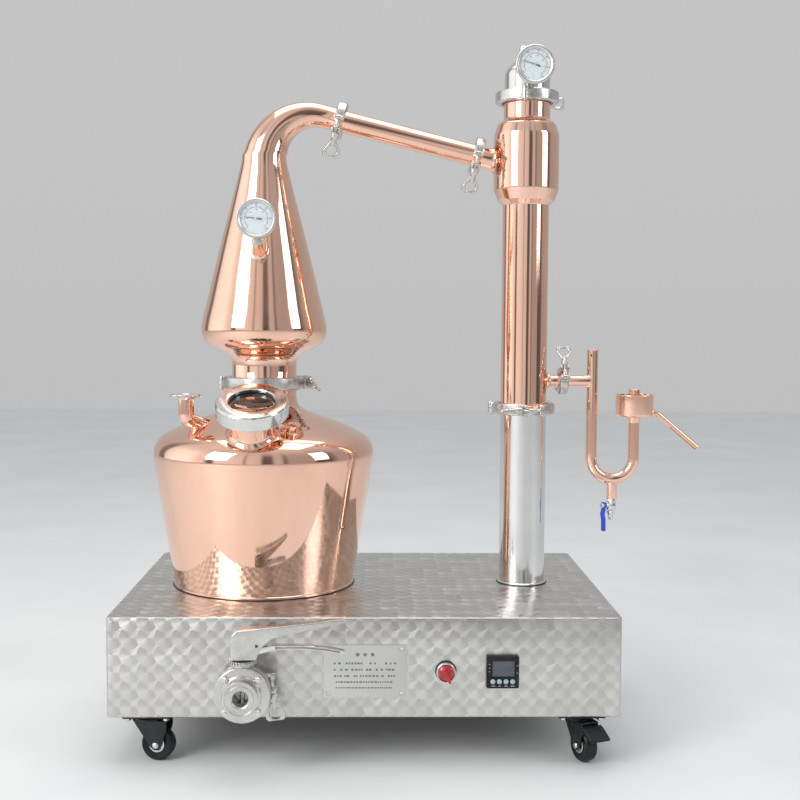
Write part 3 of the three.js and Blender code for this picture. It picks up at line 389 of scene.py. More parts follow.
def add_ramp(tree, value, stops):
    """Colour ramp; a stop's colour is one grey level or three numbers."""
    n = add_node(tree, "ValToRGB", {"Fac": value})
    while len(n.color_ramp.elements) < len(stops):
        n.color_ramp.elements.new(0.5)
    for element, (position, color) in zip(n.color_ramp.elements, stops):
        element.position = position
        element.color = (color, color, color, 1) if isinstance(color, (int, float)) else (*color, 1)
    return n.outputs["Color"]


class Shader:
    """One procedural material and short ways to add its nodes."""

    def __init__(self, name, color, metallic, roughness, **sockets):
        self.material = bpy.data.materials.new(name)
        self.material.use_nodes = True
        self.tree = self.material.node_tree
        self.out = self.tree.nodes["Principled BSDF"]
        self.put("Base Color", (*color, 1))
        self.put("Metallic", metallic)
        self.put("Roughness", roughness)
        for key, value in sockets.items():
            self.put(key.replace("_", " "), value)
        self.height = None

    def put(self, socket, value):
        feed(self.tree, value, self.out.inputs[socket])

    def node(self, kind, inputs=(), **settings):
        return add_node(self.tree, kind, inputs, **settings)

    def math(self, operation, *values):
        return self.node("Math", {i: v for i, v in enumerate(values)}, operation=operation).outputs[0]

    def place(self, stretch=(1, 1, 1)):
        source = self.node("TexCoord").outputs["Object"]
        return self.node("Mapping", {"Vector": source, "Scale": stretch}).outputs[0]

    def noise(self, scale, detail=3, stretch=(1, 1, 1), roughness=0.5):
        return self.node("TexNoise", {"Vector": self.place(stretch), "Scale": scale, "Detail": detail,
                "Roughness": roughness,}).outputs["Fac"]

    def ramp(self, value, *stops):
        return add_ramp(self.tree, value, stops)

    def fit(self, value, low, high, to_low, to_high):
        return self.node("MapRange", {"Value": value, "From Min": low, "From Max": high, "To Min": to_low,
                "To Max": to_high,}).outputs[0]

    def bump(self, value, distance, strength=1):
        inputs = {"Height": value, "Distance": distance, "Strength": strength}
        if self.height:
            inputs["Normal"] = self.height
        self.height = self.node("Bump", inputs).outputs["Normal"]
        self.put("Normal", self.height)
        return self


def copper():
    s = Shader("copper", (0.93, 0.59, 0.455), 1, 0.07)
    s.put("Base Color", s.ramp(s.noise(7, 5), (0.3, (0.925, 0.56, 0.425)), (0.5, (0.945, 0.595, 0.46)),
            (0.72, (0.96, 0.63, 0.5))))
    smears = s.noise(26, 6, (1, 1, 0.35), 0.6)
    s.put("Roughness", s.math("ADD", s.fit(s.noise(5, 3), 0.35, 0.7, 0.035, 0.085),
            s.fit(smears, 0.55, 0.75, 0, 0.07)))
    s.bump(s.noise(11, 2), 0.0007, 0.35)
    s.bump(s.noise(420, 2, (1, 1, 0.2)), 0.00001, 0.4)
    return s


def mirror_steel():
    s = Shader("polished_steel", (0.74, 0.735, 0.72), 1, 0.1)
    s.put("Base Color", s.ramp(s.noise(14, 4), (0.35, (0.68, 0.675, 0.665)), (0.7, (0.78, 0.775, 0.765))))
    streaks = s.noise(60, 4, (6, 6, 0.5), 0.6)
    s.put("Roughness", s.math("ADD", s.fit(streaks, 0.35, 0.7, 0.07, 0.15),
            s.fit(s.noise(18, 5), 0.55, 0.8, 0, 0.08)))
    s.bump(s.noise(25, 2), 0.0002, 0.3)
    s.bump(streaks, 0.00002, 0.3)
    return s


def cast_steel():
    s = Shader("cast_steel", (0.66, 0.65, 0.63), 1, 0.3)
    s.put("Base Color", s.ramp(s.noise(40, 5), (0.3, (0.56, 0.55, 0.53)), (0.7, (0.71, 0.7, 0.685))))
    s.put("Roughness", s.fit(s.noise(90, 4), 0.3, 0.7, 0.2, 0.38))
    s.bump(s.noise(140, 3), 0.0003, 0.25)
    s.bump(s.noise(1600, 2), 0.00005, 0.35)
    return s


def satin_steel():
    s = Shader("satin_steel", (0.66, 0.66, 0.64), 1, 0.33, Anisotropic=0.4)
    grain = s.noise(300, 3, (1, 14, 1), 0.6)
    s.put("Base Color", s.ramp(grain, (0.3, (0.58, 0.58, 0.565)), (0.7, (0.72, 0.72, 0.7))))
    s.put("Roughness", s.fit(grain, 0.3, 0.7, 0.27, 0.42))
    s.bump(grain, 0.00003, 0.5)
    return s


def perlage():
    """Stainless sheet ground with rows of overlapping spots, each with a circular grain."""
    pitch, radius = 0.0255, 0.0163
    s = Shader("perlage_steel", (0.62, 0.61, 0.59), 1, 0.34, Anisotropic=0.72)
    uv = s.node("UVMap", uv_map="UVMap").outputs[0]
    split = s.node("SeparateXYZ", {0: uv})
    u = s.math("DIVIDE", split.outputs[0], pitch)
    v = s.math("DIVIDE", split.outputs[1], pitch)
    column, row = s.math("FLOOR", u), s.math("FLOOR", v)
    dx = dy = seed = None
    # A later spot lies on the ones before it: the candidates run from the first to the last.
    for i, j in ((-1, -1), (0, -1), (1, -1), (-1, 0), (0, 0), (1, 0), (-1, 1), (0, 1), (1, 1)):
        cx, cy = s.math("ADD", column, i + 0.5), s.math("ADD", row, j + 0.5)
        x, y = s.math("SUBTRACT", u, cx), s.math("SUBTRACT", v, cy)
        far = s.math("SQRT", s.math("ADD", s.math("MULTIPLY", x, x), s.math("MULTIPLY", y, y)))
        mine = s.math("LESS_THAN", far, radius / pitch)
        token = s.math("ADD", cx, s.math("MULTIPLY", cy, 17.31))
        if dx is None:
            dx, dy, seed = x, y, token
            continue
        pick = [s.node("Mix", {"Factor": mine}, data_type="FLOAT") for _ in range(3)]
        for mix, old, new in zip(pick, (dx, dy, seed), (x, y, token)):
            s.tree.links.new(old, mix.inputs["A"])
            s.tree.links.new(new, mix.inputs["B"])
        dx, dy, seed = (mix.outputs["Result"] for mix in pick)
    angle = s.math("DIVIDE", s.math("ARCTAN2", dy, dx), 2 * math.pi)
    s.put("Anisotropic Rotation", s.math("FRACT", s.math("ADD", angle, 1.25)))
    s.put("Tangent", s.node("Tangent", direction_type="UV_MAP", uv_map="UVMap").outputs[0])
    rand = s.node("TexWhiteNoise", {"W": seed}, noise_dimensions="1D").outputs["Value"]
    far = s.math("SQRT", s.math("ADD", s.math("MULTIPLY", dx, dx), s.math("MULTIPLY", dy, dy)))
    # Fine circular scratches, and a painted sheen: the base colour is lighter and darker in sectors round
    # each spot, standing in for the highlight that turns with the grain on a ground spot.
    rings = s.math("SINE", s.math("MULTIPLY", far, 95))
    painted_sheen_wedge = s.math("MULTIPLY", s.math("SINE", s.math("MULTIPLY", angle, 4 * math.pi)), 0.5)
    tone_and_painted_sheen = s.math("ADD", s.math("MULTIPLY", painted_sheen_wedge, 0.16), s.math("MULTIPLY", rand, 0.14))
    tone_and_painted_sheen = s.math("ADD", tone_and_painted_sheen, s.fit(s.noise(5, 4), 0.3, 0.7, -0.05, 0.05))
    # Base colour: random tone per spot plus the painted sheen sectors, which are painted highlight and shade.
    s.put("Base Color", s.ramp(s.math("ADD", tone_and_painted_sheen, 0.42), (0.2, (0.47, 0.455, 0.43)),
            (0.8, (0.8, 0.79, 0.765))))
    s.put("Roughness", s.math("ADD", s.fit(rand, 0, 1, 0.26, 0.36), s.math("MULTIPLY", rings, 0.02)))
    s.bump(rings, 0.00001, 0.6)
    s.bump(far, 0.00022, 0.35)
    return s


def painted(name, color, roughness, grain=500, depth=0.00006, **sockets):
    s = Shader(name, color, 0, roughness, **sockets)
    light = [min(1, c * 1.35 + 0.006) for c in color]
    dark = [c * 0.75 for c in color]
    s.put("Base Color", s.ramp(s.noise(60, 5), (0.3, tuple(dark)), (0.75, tuple(light))))
    s.put("Roughness", s.fit(s.noise(85, 4), 0.3, 0.75, roughness * 0.8, min(1, roughness * 1.35)))
    s.bump(s.noise(grain, 3), depth, 0.5)
    return s


def sight_pane():
    s = Shader("glass", (0.97, 0.98, 0.97), 0, 0.01, Transmission_Weight=1.0, IOR=1.5)
    s.put("Roughness", s.fit(s.noise(40, 5), 0.5, 0.8, 0.0, 0.07))
    return s


def dial_lens():
    s = Shader("lens", (0.9, 0.95, 1.0), 0, 0.03, Alpha=0.1, Coat_Weight=0.6)
    s.put("Roughness", s.fit(s.noise(60, 4), 0.5, 0.8, 0.01, 0.09))
    return s


def dial_card():
    s = Shader("dial_card", (0.70, 0.76, 0.79), 0, 0.4)
    s.put("Base Color", s.ramp(s.noise(120, 4), (0.3, (0.655, 0.72, 0.755)), (0.7, (0.73, 0.785, 0.81))))
    s.bump(s.noise(900, 2), 0.00002, 0.3)
    return s


MATERIAL = {name: s.material for name, s in {
    "copper": copper(), "perlage": perlage(), "steel": mirror_steel(), "cast": cast_steel(),
    "satin": satin_steel(),
    "black_steel": painted("black_steel", (0.01, 0.011, 0.013), 0.26, 260, 0.0001, Coat_Weight=0.25,
                           Specular_IOR_Level=0.3),
    "tyre": painted("tyre", (0.011, 0.012, 0.014), 0.36, 700, 0.00008, Specular_IOR_Level=0.25),
    "black": painted("black_plastic", (0.008, 0.009, 0.012), 0.32, 1500, 0.00005, Specular_IOR_Level=0.28),
    "screen": painted("screen", (0.045, 0.06, 0.08), 0.16, 40, 0.00001, Coat_Weight=1.0),
    "grey": painted("grey_plastic", (0.36, 0.46, 0.52), 0.4, 900, 0.00004),
    "red": painted("red_plastic", (0.45, 0.006, 0.012), 0.2, 300, 0.00003, Coat_Weight=0.7),
    "blue": painted("blue_plastic", (0.012, 0.075, 0.62), 0.38, 500, 0.00008),
    "gasket": painted("gasket", (0.62, 0.62, 0.6), 0.6, 700, 0.00004),
    "ink": painted("ink", (0.008, 0.008, 0.01), 0.5, 900, 0.00002),
    "print": painted("print", (0.2, 0.2, 0.2), 0.5, 900, 0.00002),
    "card": dial_card(), "glass": sight_pane(), "lens": dial_lens(),
}.items()}

# ---------------------------------------------------------------- base

FRONT, PANEL_ROW = -250, 142
SELECTOR_X, CONTROLLER_X = 119, 202.5
DRAIN_X, DRAIN_Z = -174, 127
PANEL = (0, -1, 0)


def cuboid(x0, x1, y0, y1, z0, z1):
    corners = [(x, y, z) for z in (z0, z1) for y in (y0, y1) for x in (x0, x1)]
    return corners, [[0, 1, 3, 2], [4, 5, 7, 6], [0, 1, 5, 4], [2, 3, 7, 6], [0, 2, 6, 4], [1, 3, 7, 5]]


def cabinet():
    shell = plate(rectangle(760, 500, 7), 150, edge=3, z=72)
    hole = lambda x, z, r: put(rod(r, 0, 12, 32, 0), move(x, FRONT - 6, z), turn(-90, "X"))
    holes = [cuboid(-378, 378, -248, 248, 74, 220), cuboid(-284, 284, -154, 154, 68, 78),
             hole(DRAIN_X, DRAIN_Z, 14.7), hole(SELECTOR_X, PANEL_ROW, 11.5),
             cuboid(CONTROLLER_X - 22.8, CONTROLLER_X + 22.8, -256, -244, PANEL_ROW - 22.8, PANEL_ROW + 22.8),
             cuboid(190, 310, 244, 256, 110, 154), put(rod(17, 216, 226, 32, 0), move(-170)),
             put(rod(32, 216, 226, 32, 0), move(260)),]
    piece("base_cabinet_shell", boolean(shell, holes), "perlage", nodes=["base_cabinet"], unwrap=True,
          crease=25)
    grommet = lathe([(14.3, -4), (17, -4, 1), (17, -0.6), (17.4, 0.1), (20, 0.3, 1), (19, 3.4, 1.2),
                     (14.3, 3.4, 1)], 48, True)
    piece("drain_grommet", grommet, "black", place=facing((DRAIN_X, FRONT, DRAIN_Z), PANEL))


def nameplate():
    place = facing((0, FRONT, PANEL_ROW), PANEL)
    piece("nameplate_sheet", plate(rectangle(122, 80, 2.5), 1, edge=0.3, z=0.4), "satin", nodes=["nameplate"],
          place=place)
    spots = [(i * 54, j * 33) for i in (-1, 1) for j in (-1, 1)]
    head = boolean(lathe([(0, 1.2), (2.7, 1.2), (2.7, 2, 0.5), (1.8, 2.8, 0.6), (0, 2.9)], 24),
                   [cuboid(-3, 3, -0.35, 0.35, 2.3, 4)])
    piece("nameplate_screws", join(*[put(head, move(x, y), turn(37 * x + y)) for x, y in spots]), "steel",
          place=place)
    rng = random.Random(4)
    bars = [put(lathe([(3.5, 1.38), (3.8, 1.38), (3.8, 1.46), (3.5, 1.46)], 32, True),
                move(x, y)) for x, y in spots]
    bars += [block(5, 5, 0.06, 0.8, 0.02, x, 25, 1.4) for x in (-11, 0, 11)]
    for row, (y, height) in enumerate(((12, 3), (2.5, 3), (-7, 3), (-16, 2.6), (-24.5, 2.2))):
        x = -46 + 3 * (row > 2)
        while x < 44 - 4 * (row > 2):
            wide = rng.choice((2, 2.6, 3.4, 4.2))
            if rng.random() > 0.16 or row > 2:
                bars.append(block(wide, height, 0.06, 0.5, 0.02, x + wide / 2, y, 1.4))
            x += wide + rng.choice((1.1, 1.4, 3.6 if row < 3 else 1.2))
    piece("nameplate_print", join(*bars), "print", place=place)


def selector():
    place = facing((SELECTOR_X, FRONT, PANEL_ROW), PANEL)
    collar_ = lathe([(10.6, -12), (10.6, 0.4), (14.7, 0.4, 0.4), (14.7, 9.5, 1.2), (13.6, 12, 1),
                     (12.6, 12, 0.6), (12.4, 5), (9, 5), (9, -12)], 64, True)
    piece("selector_ring", collar_, "steel", nodes=["selector_bezel"], place=place)
    piece("selector_washer", lathe([(11, 0.1), (15.9, 0.1, 0.3), (15.6, 1.9, 0.8), (11, 1.9)], 48, True),
          "black", place=place)
    knob = lathe([(0, 6), (11.6, 6), (11.7, 12.2, 1.4), (8, 14.6, 4), (0, 15)], 48)
    grip = plate([(-10.4, -3.1, 2.4), (6, -3.6, 4), (13.9, -1.5, 0.9), (13.9, 1.5, 0.9), (6, 3.6, 4),
                  (-10.4, 3.1, 2.4)], 9.5, edge=1.4, z=12.4)
    piece("selector_cap", join(knob, grip), "red", "selector_knob", ["selector_knob"], place @ turn(-66))


def controller():
    place = facing((CONTROLLER_X, FRONT, PANEL_ROW), PANEL)
    columns = [(i - 1.5) * 9.7 for i in range(4)]
    rear = block(48, 48, 3.1, 2.2, 0.5, z=0.4)
    front = plate(rectangle(48, 48, 2.2), 4.1, [rectangle(34, 24.5, 1.5, 1.2, 4.5),
            *[(c, -14, 4.2) for c in columns]], edge=0.7, z=3.3)
    body = cuboid(-22.4, 22.4, -22.4, 22.4, -60, 1)
    piece("controller_housing", join(rear, front, body), "black", nodes=["controller_case"], place=place)
    piece("controller_screen", block(33.4, 24, 1.4, 1.2, 0.4, 1.2, 4.5, 3.4), "screen", place=place)
    marks = [block(2.2, 0.9, 0.06, 0.3, 0.02, x, y, 7.39) for x, y in ((-19.6, 12), (-19.6, 6.5), (-19.6, 1),
            (21.2, 10), (21.2, -1))]
    marks += [block(w, 0.9, 0.06, 0.3, 0.02, x, -20.4, 7.39) for x, w in ((-14, 6), (-4.6, 4), (5, 5),
            (14.6, 6))]
    piece("controller_marks", join(*marks), "grey", place=place)
    for i, c in enumerate(columns):
        cap = lathe([(0, 4.8), (3.7, 4.8), (3.7, 8, 0.8), (0, 8.5)], 32)
        piece(f"controller_cap_{i + 1}", cap, "grey", f"button_{i + 1}", [f"controller_button_{i + 1}"],
              place @ move(c, -14))


def service_plate():
    place = facing((250, 250.4, 132), (0, 1, 0))
    sheet = block(150, 64, 2, 5, 0.4)
    barb = [(5, -14), (7.6, -14), (7.6, 9, 0.5), (6.4, 9.6), (8.6, 12), (7, 17), (8.6, 18), (7, 23),
            (8.4, 24), (6.6, 30, 0.8), (5, 30)]
    nipple = join(lathe(barb, 40, True), boolean(hexagon(12, 2, 8.5), [rod(7, -20, 40, 24, 0)]))
    screws = [put(hexagon(3.6, 2, 5), move(x, y)) for x in (-68, 68) for y in (-25, 25)]
    piece("service_panel", join(sheet, *screws), "satin", nodes=["service_plate"], place=place)
    piece("service_nipples", join(put(nipple, move(45)), nipple), "steel", place=place)
    gland = join(hexagon(13, 2, 8), lathe([(0, 8), (10.5, 8), (10.5, 14, 1), (7, 19, 2), (0, 19)], 24))
    piece("service_gland", put(gland, move(-45)), "black", place=place)


AXLE = 24.62
STAND_UP = turn(90, "X")  # plate outlines drawn in x and z; the plate's thickness runs to -y


def caster(name, x, y, heading, braked):
    fixed, swivel = move(x, y, 0), move(x, y, 0) @ turn(heading)
    holes = [(i * 28, j * 21, 3.2) for i in (-1, 1) for j in (-1, 1)]
    race = lathe([(0, 65.2), (19, 65.2), (21.5, 66, 1), (22, 69.2, 0.6), (0, 69.2)], 48)
    mount = join(plate(rectangle(72, 60, 5), 2.5, holes, 0.5, 69.1), race)
    piece(f"caster_mount_{name}", mount, "black_steel", nodes=[f"caster_plate_{name}"], place=fixed)
    bolt = put(join(hexagon(5.4, 0.8, 4.6), rod(6.6, 0, 0.9, 24, 0.2), screw(2.9, 4.4, 5.8)), turn(180, "X"))
    piece(f"caster_bolts_{name}", join(*[put(bolt, move(i, j, 69.1)) for i, j, _ in holes]), "steel",
          place=fixed)
    crown = lathe([(0, 60.4), (18, 60.4, 3), (22, 62.4, 1.2), (22, 64.7, 0.6), (0, 64.7)], 48)
    outline = [(-22, 62.4, 1), (6.8, AXLE - 3.5, 6), (15, AXLE - 8.4, 9), (23.2, AXLE - 3.5, 8), (32, 50, 5),
               (32, 62.4, 1)]
    cheek = plate(outline, 2, edge=0.6, steps=8)
    cheeks = [put(cheek, move(0, edge, 0), STAND_UP) for edge in (14, -12)]
    bridge = plate([(-22, -14, 3), (32, -14, 3), (32, 14, 3), (-22, 14, 3)], 2.2, edge=0.7, z=60.3)
    parts = [crown, bridge, *cheeks]
    if braked:
        parts.append(put(rod(2, -13.6, 13.6, 16), move(27.5, 0, 55.5), STAND_UP))
    body = f"fork_{name}"
    piece(f"caster_yoke_{name}", join(*parts), "black_steel", body, [f"caster_fork_{name}"], swivel)
    cap = lathe([(0, 13.9), (4.9, 13.9), (4.9, 15.4, 0.8), (3, 17, 1.4), (0, 17.2)], 32)
    nut = join(hexagon(5.2, 13.9, 17.4), screw(2.8, 17.2, 19.4))
    axle = join(rod(3, -14, 14, 20), cap, put(nut, turn(180, "X")))
    piece(f"caster_axle_{name}", axle, "steel", body, place=swivel @ move(15, 0, AXLE) @ turn(90, "X"))
    tread = [(19, -9.4), (22, -10, 1.2), (24.4, -7.4, 2.4), (24.6, 0, 12), (24.4, 7.4, 2.4), (22, 10, 1.2),
             (19, 9.4)]
    wheel_place = swivel @ move(15, 0, AXLE) @ turn(90, "X")
    hub = [(19.2, -9), (19.2, 9), (13, 8, 1), (12, 6), (4, 6), (4, -6), (12, -6), (13, -8, 1)]
    wheel = join(lathe(tread, 72, True), lathe(hub, 48, True))
    piece(f"caster_tyre_{name}", wheel, "tyre", f"wheel_{name}", [f"caster_wheel_{name}"], wheel_place)
    face = lathe([(4, 6), (12.2, 6), (12.2, 10.2, 1), (9.5, 10.4, 0.8), (8, 9.2, 0.8), (4, 9.2)], 48, True)
    piece(f"caster_bearing_{name}", join(face, put(face, turn(180, "X"))), "steel", f"wheel_{name}",
          place=wheel_place)
    if braked:
        heel = plate([(24, 59.4, 2), (40, 57.6, 1), (40, 50, 2), (34, 51, 3), (24, 52, 3)], 22, edge=1, z=-11)
        tread = plate([(33, 59, 2), (40, 57.4, 3), (60.5, 46, 2.5), (61, 41, 2), (49, 44, 3), (34, 51, 3)],
                      34, edge=1.6, z=-17)
        ribs = [plate([(41 + 4.5 * i, 57 - 2.5 * i, 0.5), (43 + 4.5 * i, 55.9 - 2.5 * i, 0.5),
                       (42.5 + 4.5 * i, 54 - 2.5 * i), (40.5 + 4.5 * i, 55 - 2.5 * i)], 27, edge=0.3,
                      z=-13.5) for i in range(4)]
        piece(f"caster_brake_{name}", put(join(heel, tread, *ribs), STAND_UP), "black", f"pedal_{name}",
              [f"caster_pedal_{name}"], swivel)


# ---------------------------------------------------------------- pot

POT_X = -170
DOME = spline([(173, 383), (177.6, 411), (180, 427), (180.9, 441), (177, 455), (166, 468), (140, 482),
               (100, 497.5), (72, 507.5), (58, 516.5), (53.4, 529), (53, 540)], 7)
SIGHT = facing((POT_X - 4.7, -140, 485), (0, -math.sin(25 * DEG), math.cos(25 * DEG)), (0, 1, 0))


def pot():
    inside = [(p[0] - 2.5, p[1] - 1.2) for p in reversed(DOME)]
    profile = [(0, 222.4), (145.5, 222.4), (148.5, 223.4, 0.8), (148.5, 226.4, 0.8), (147.4, 227.4),
               *[tuple(p) for p in DOME], (53, 548.6, 1.5), (59.5, 550.5, 0.4), (59.5, 553.5, 0.4),
               (50.5, 553.5), *inside, (144.5, 226), (0, 226)]
    shell = lathe(profile, 144)
    local = put(shell, move(POT_X))
    tree = tree_of(local)
    azimuth = 218 * DEG
    radial = Vector((math.cos(azimuth), math.sin(azimuth), 0))
    centre = Vector((POT_X, 0, 0))
    way = [centre + radial * a + Vector((0, 0, b)) for a, b in soften([(77, 475), (146, 500.1, 13.5),
            (146, 533)], steps=12)]
    out = (radial * 55 + Vector((0, 0, 20))).normalized()
    vent_angle = 293 * DEG
    vent_out = unit(0.42 * math.cos(vent_angle), 0.42 * math.sin(vent_angle), 0.91)
    vent_at = Vector((POT_X + 136 * math.cos(vent_angle), 136 * math.sin(vent_angle), 484))
    vent = facing(vent_at, vent_out, (0, 1, 0))
    opened = boolean(local, [put(rod(32.5, -60, 30, 64, 0), SIGHT), put(rod(11, -40, 30, 40, 0),
            facing(way[0] + out * 10, out)), put(rod(7.5, -30, 30, 32, 0), vent),
            put(rod(13, 215, 230, 32, 0), move(DRAIN_X))])
    neck = lathe([(32.5, -8), (34.5, -8), (34.5, 35, 2.5), (47, 36, 0.6), (47, 40, 0.4), (32.5, 40)], 96,
                 True)
    branch = lathe([(0, -8), (9, -8), (9, 12, 1), (7.6, 12, 0.6), (7.4, 10.6, 0.4), (0, 10.6)], 40)
    piece("pot_shell", join(opened, put(neck, SIGHT), collar(tree, SIGHT.translation,
            SIGHT.to_3x3() @ Vector((0, 0, 1)), 34.5, 9), tube(way, 12.2, 40, 11),
                            collar(tree, way[0], out, 12.2, 2.5, 90), put(branch, vent),
                            collar(tree, vent_at, vent_out, 9, 2.5),), "copper", nodes=["pot"], crease=38)
    mouth = lathe([(11, -8), (12.6, -8, 0.3), (13.2, -6.5, 1.5), (25.2, -3.2, 0.5), (25.2, 0, 0.5),
                   (22.6, 0, 0.3), (22.2, -0.8), (19.6, -0.8), (19.2, 0, 0.3), (12, 0, 0.6), (11, -1)], 72,
                  True)
    piece("fill_ferrule", mouth, "steel", place=move(*(centre + radial * 146).xy, 539.5))
    bead = lathe([(147, 222.1), (150.4, 222.1), (149.2, 223.2, 0.8), (147, 223.6)], 144, True)
    piece("pot_foot_gasket", bead, "black", place=move(POT_X))


def sight_glass():
    ring = lathe([(48.5, 31), (54.6, 31, 0.8), (56, 32.4, 0.8), (56, 52.8, 1.6), (54, 55, 1.4), (37, 55, 0.7),
                  (36, 54, 0.5), (36, 49.6), (48.5, 49.6)], 112, True)
    piece("sight_glass_union", ring, "steel", nodes=["sight_glass_ring"], place=SIGHT)
    piece("sight_glass_disc", lathe([(0, 40.6), (46.5, 40.6, 0.6), (46.5, 48.6, 0.6), (0, 48.6)], 80),
          "glass", nodes=["sight_glass_pane"], place=SIGHT)
    gasket = lathe([(35.6, 48.7), (46.4, 48.7), (46.4, 49.5), (35.6, 49.5, 0.3)], 80, True)
    piece("sight_glass_gasket", gasket, "black", place=SIGHT)


def drain_pipe():
    way = [(DRAIN_X, y, z) for y, z in soften([(0, 225), (0, DRAIN_Z, 34), (-272, DRAIN_Z)], steps=12)]
    end = lathe([(11, -14), (12.7, -14), (12.7, -6, 3), (25.2, -3, 0.4), (25.2, 0, 0.4), (11, 0)], 64, True)
    piece("drain_tube", join(tube(way, 12.7, 40, 11), put(end, facing((DRAIN_X, -276, DRAIN_Z), PANEL))),
          "steel", nodes=["drain_pipe"])


# ---------------------------------------------------------------- clamps

# Ferrule radius, tube radius, clamp radius, clamp width, each ear's distance from the middle.
POT_SIZE, COLUMN_SIZE = (59.5, 53, 66, 21, 13), (45.5, 38, 52, 19, 13)
PIPE_SIZE, OUTLET_SIZE = (25.2, 17.5, 31, 16, 10), (17, 9.2, 23, 15, 8.5)
EAR = Matrix(((0, 0, 1, 0), (0, 1, 0, 0), (1, 0, 0, 0), (0, 0, 0, 1)))


def clamp(name, size, position, axis, ear_side, wing=0, hinges=(180,), proud=4):
    place = facing(position, axis, ear_side)
    ferrule, inner, outer, width, ears = size
    half, stack = width / 2, 3.9
    lip, back = ferrule - (ferrule - inner) * 0.5, stack + (ferrule - inner) * 0.14 + 0.3
    channel = [(ferrule + 0.4, -stack), (lip, -back), (lip, -half + 0.2, 0.8), (outer - 3, -half, 1),
               (outer - 0.3, -half + 2, 1.4), (outer, 0, 8), (outer - 0.3, half - 2, 1.4),
               (outer - 3, half, 1), (lip, half - 0.2, 0.8), (lip, back), (ferrule + 0.4, stack)]
    gap = math.degrees(math.asin((ears - 3) / outer))
    cuts = sorted(90 + a if a > 0 else 450 + a for a in hinges)
    edges = [90 + gap] + [c for a in cuts for c in (a - 0.8, a + 0.8)] + [450 - gap]
    parts = [lathe(channel, 48, True, (edges[i], edges[i + 1])) for i in range(0, len(edges), 2)]
    pivot, top, slot = outer + 8, outer + 14.5, 4.5
    prongs = [(-half, outer - 3, 0.5), (-half, top - 2, 5), (-7, top, 2), (-slot, top, 1),
              (-slot, outer + 2, 3), (slot, outer + 2, 3), (slot, top, 1), (7, top, 2), (half, top - 2, 5),
              (half, outer - 3, 0.5)]
    ear = plate(prongs, 6, edge=1.1)
    parts += [put(ear, move(x - 3), EAR) for x in (ears, -ears)]
    parts.append(put(lathe([(0, -half - 0.6), (3, -half - 0.6, 0.8), (3, half + 0.6, 0.8), (0, half + 0.6)],
                           24), move(ears, pivot)))
    for a in hinges:
        knuckle = [(0, -half), (5, -half, 0.9)]
        for z in (-half / 3, half / 3):
            knuckle += [(5, z - 0.5, 0.4), (4.4, z), (5, z + 0.5, 0.4)]
        barrel = lathe([*knuckle, (5, half, 0.9), (0, half)], 32)
        leaf = block(9, 9, width - 1, 1, 0.5, 0, -3.6, 0.5 - half)
        pin = lathe([(0, -half - 1.8), (3.4, -half - 1.8, 1.2), (3.4, half + 1.8, 1.2), (0, half + 1.8)], 24)
        parts += [put(shape, turn(a), move(0, outer + proud, 0)) for shape in (barrel, leaf, pin)]
    piece(f"{name}_clamp_halves", join(*parts), "cast", nodes=[f"{name}_clamp_band"], place=place)

    start, scale = 2 * ears + 3.5, min(1, ears / 10)
    sized = lambda points: [(p[0] * scale, start + p[1] * scale, *p[2:]) for p in points]
    eye = lathe([(0, -3.6), (4, -3.6, 0.9), (4, 3.6, 0.9), (0, 3.6)], 24)
    shank = put(join(screw(2.9, 2, start + 6, 1.25), rod(3.9, 3, 2 * ears - 4.5, 24, 0.8)), turn(-90, "Y"))
    nut = lathe(sized([(0, 0.2), (4, 0.2, 0.8), (6.2, 3.4, 0.8), (6.3, 9.5, 3), (4.2, 16, 6), (3.6, 24),
                       (0, 24)]), 40)
    drop = sized([(-4, 13, 6), (4, 13, 6), (9.6, 23, 14), (14.6, 31, 4), (14.4, 38.6, 4), (10.6, 42, 4),
                  (0, 41.4, 30), (-10.6, 42, 4), (-14.4, 38.6, 4), (-14.6, 31, 4), (-9.6, 23, 14)])
    loop = put(plate(drop, 5, [(0, start + 30.5 * scale, 9 * scale)], 1.5, -2.5, 6), STAND_UP)
    nut = put(join(nut, loop), turn(-90, "Y"), turn(wing))
    piece(f"{name}_swing_bolt", join(eye, shank, nut), "cast", f"{name}_screw", [f"{name}_clamp_screw"],
          place @ move(ears, pivot, 0))


# ---------------------------------------------------------------- head and lyne arm

SLOPE = 13.8
LYNE = unit(math.cos(SLOPE * DEG), 0, -math.sin(SLOPE * DEG))
BELL = spline([(53, 578), (53.2, 586), (54.6, 593.5), (60, 600.5), (71, 606.5), (86, 613.4), (97.5, 624),
               (102.6, 639), (101, 656), (92.9, 690), (80.6, 741), (68.5, 790), (56, 838), (43.8, 886),
               (37.2, 914), (36, 925)], 6)


def head_rings(inset):
    """Rings (x, z, radius, direction in degrees from +x) from the foot to the spout's face."""
    rings = [] if inset else [(59.5, 554.5), (59.5, 557.2), (59.1, 557.6), (54, 559.2), (53, 560.6)]
    rings = [(POT_X, z, r, 90) for r, z in rings]
    if inset:
        rings.append((POT_X, 554.5, 53 - inset, 90))
    rings += [(POT_X, p[1], p[0] - inset, 90) for p in BELL]
    steps = 30
    for i in range(1, steps + 1):
        u = i / steps
        r = 18.5 + 17.5 * (1 - u) ** 1.35
        a = 180 - u * (90 + SLOPE)
        reach = 47 + r
        rings.append((-85 + reach * math.cos(a * DEG), 925 + reach * math.sin(a * DEG), r - inset, a - 90))
    x, z, _, angle = rings[-1]
    spout = [(18.5, 17.6), (19, 18.4), (25, 19.8), (25.2, 20.2), (25.2, 23)] if not inset else [(18.5, 23)]
    rings += [(x + LYNE.x * d, z + LYNE.z * d, r - inset, angle) for r, d in spout]
    return rings


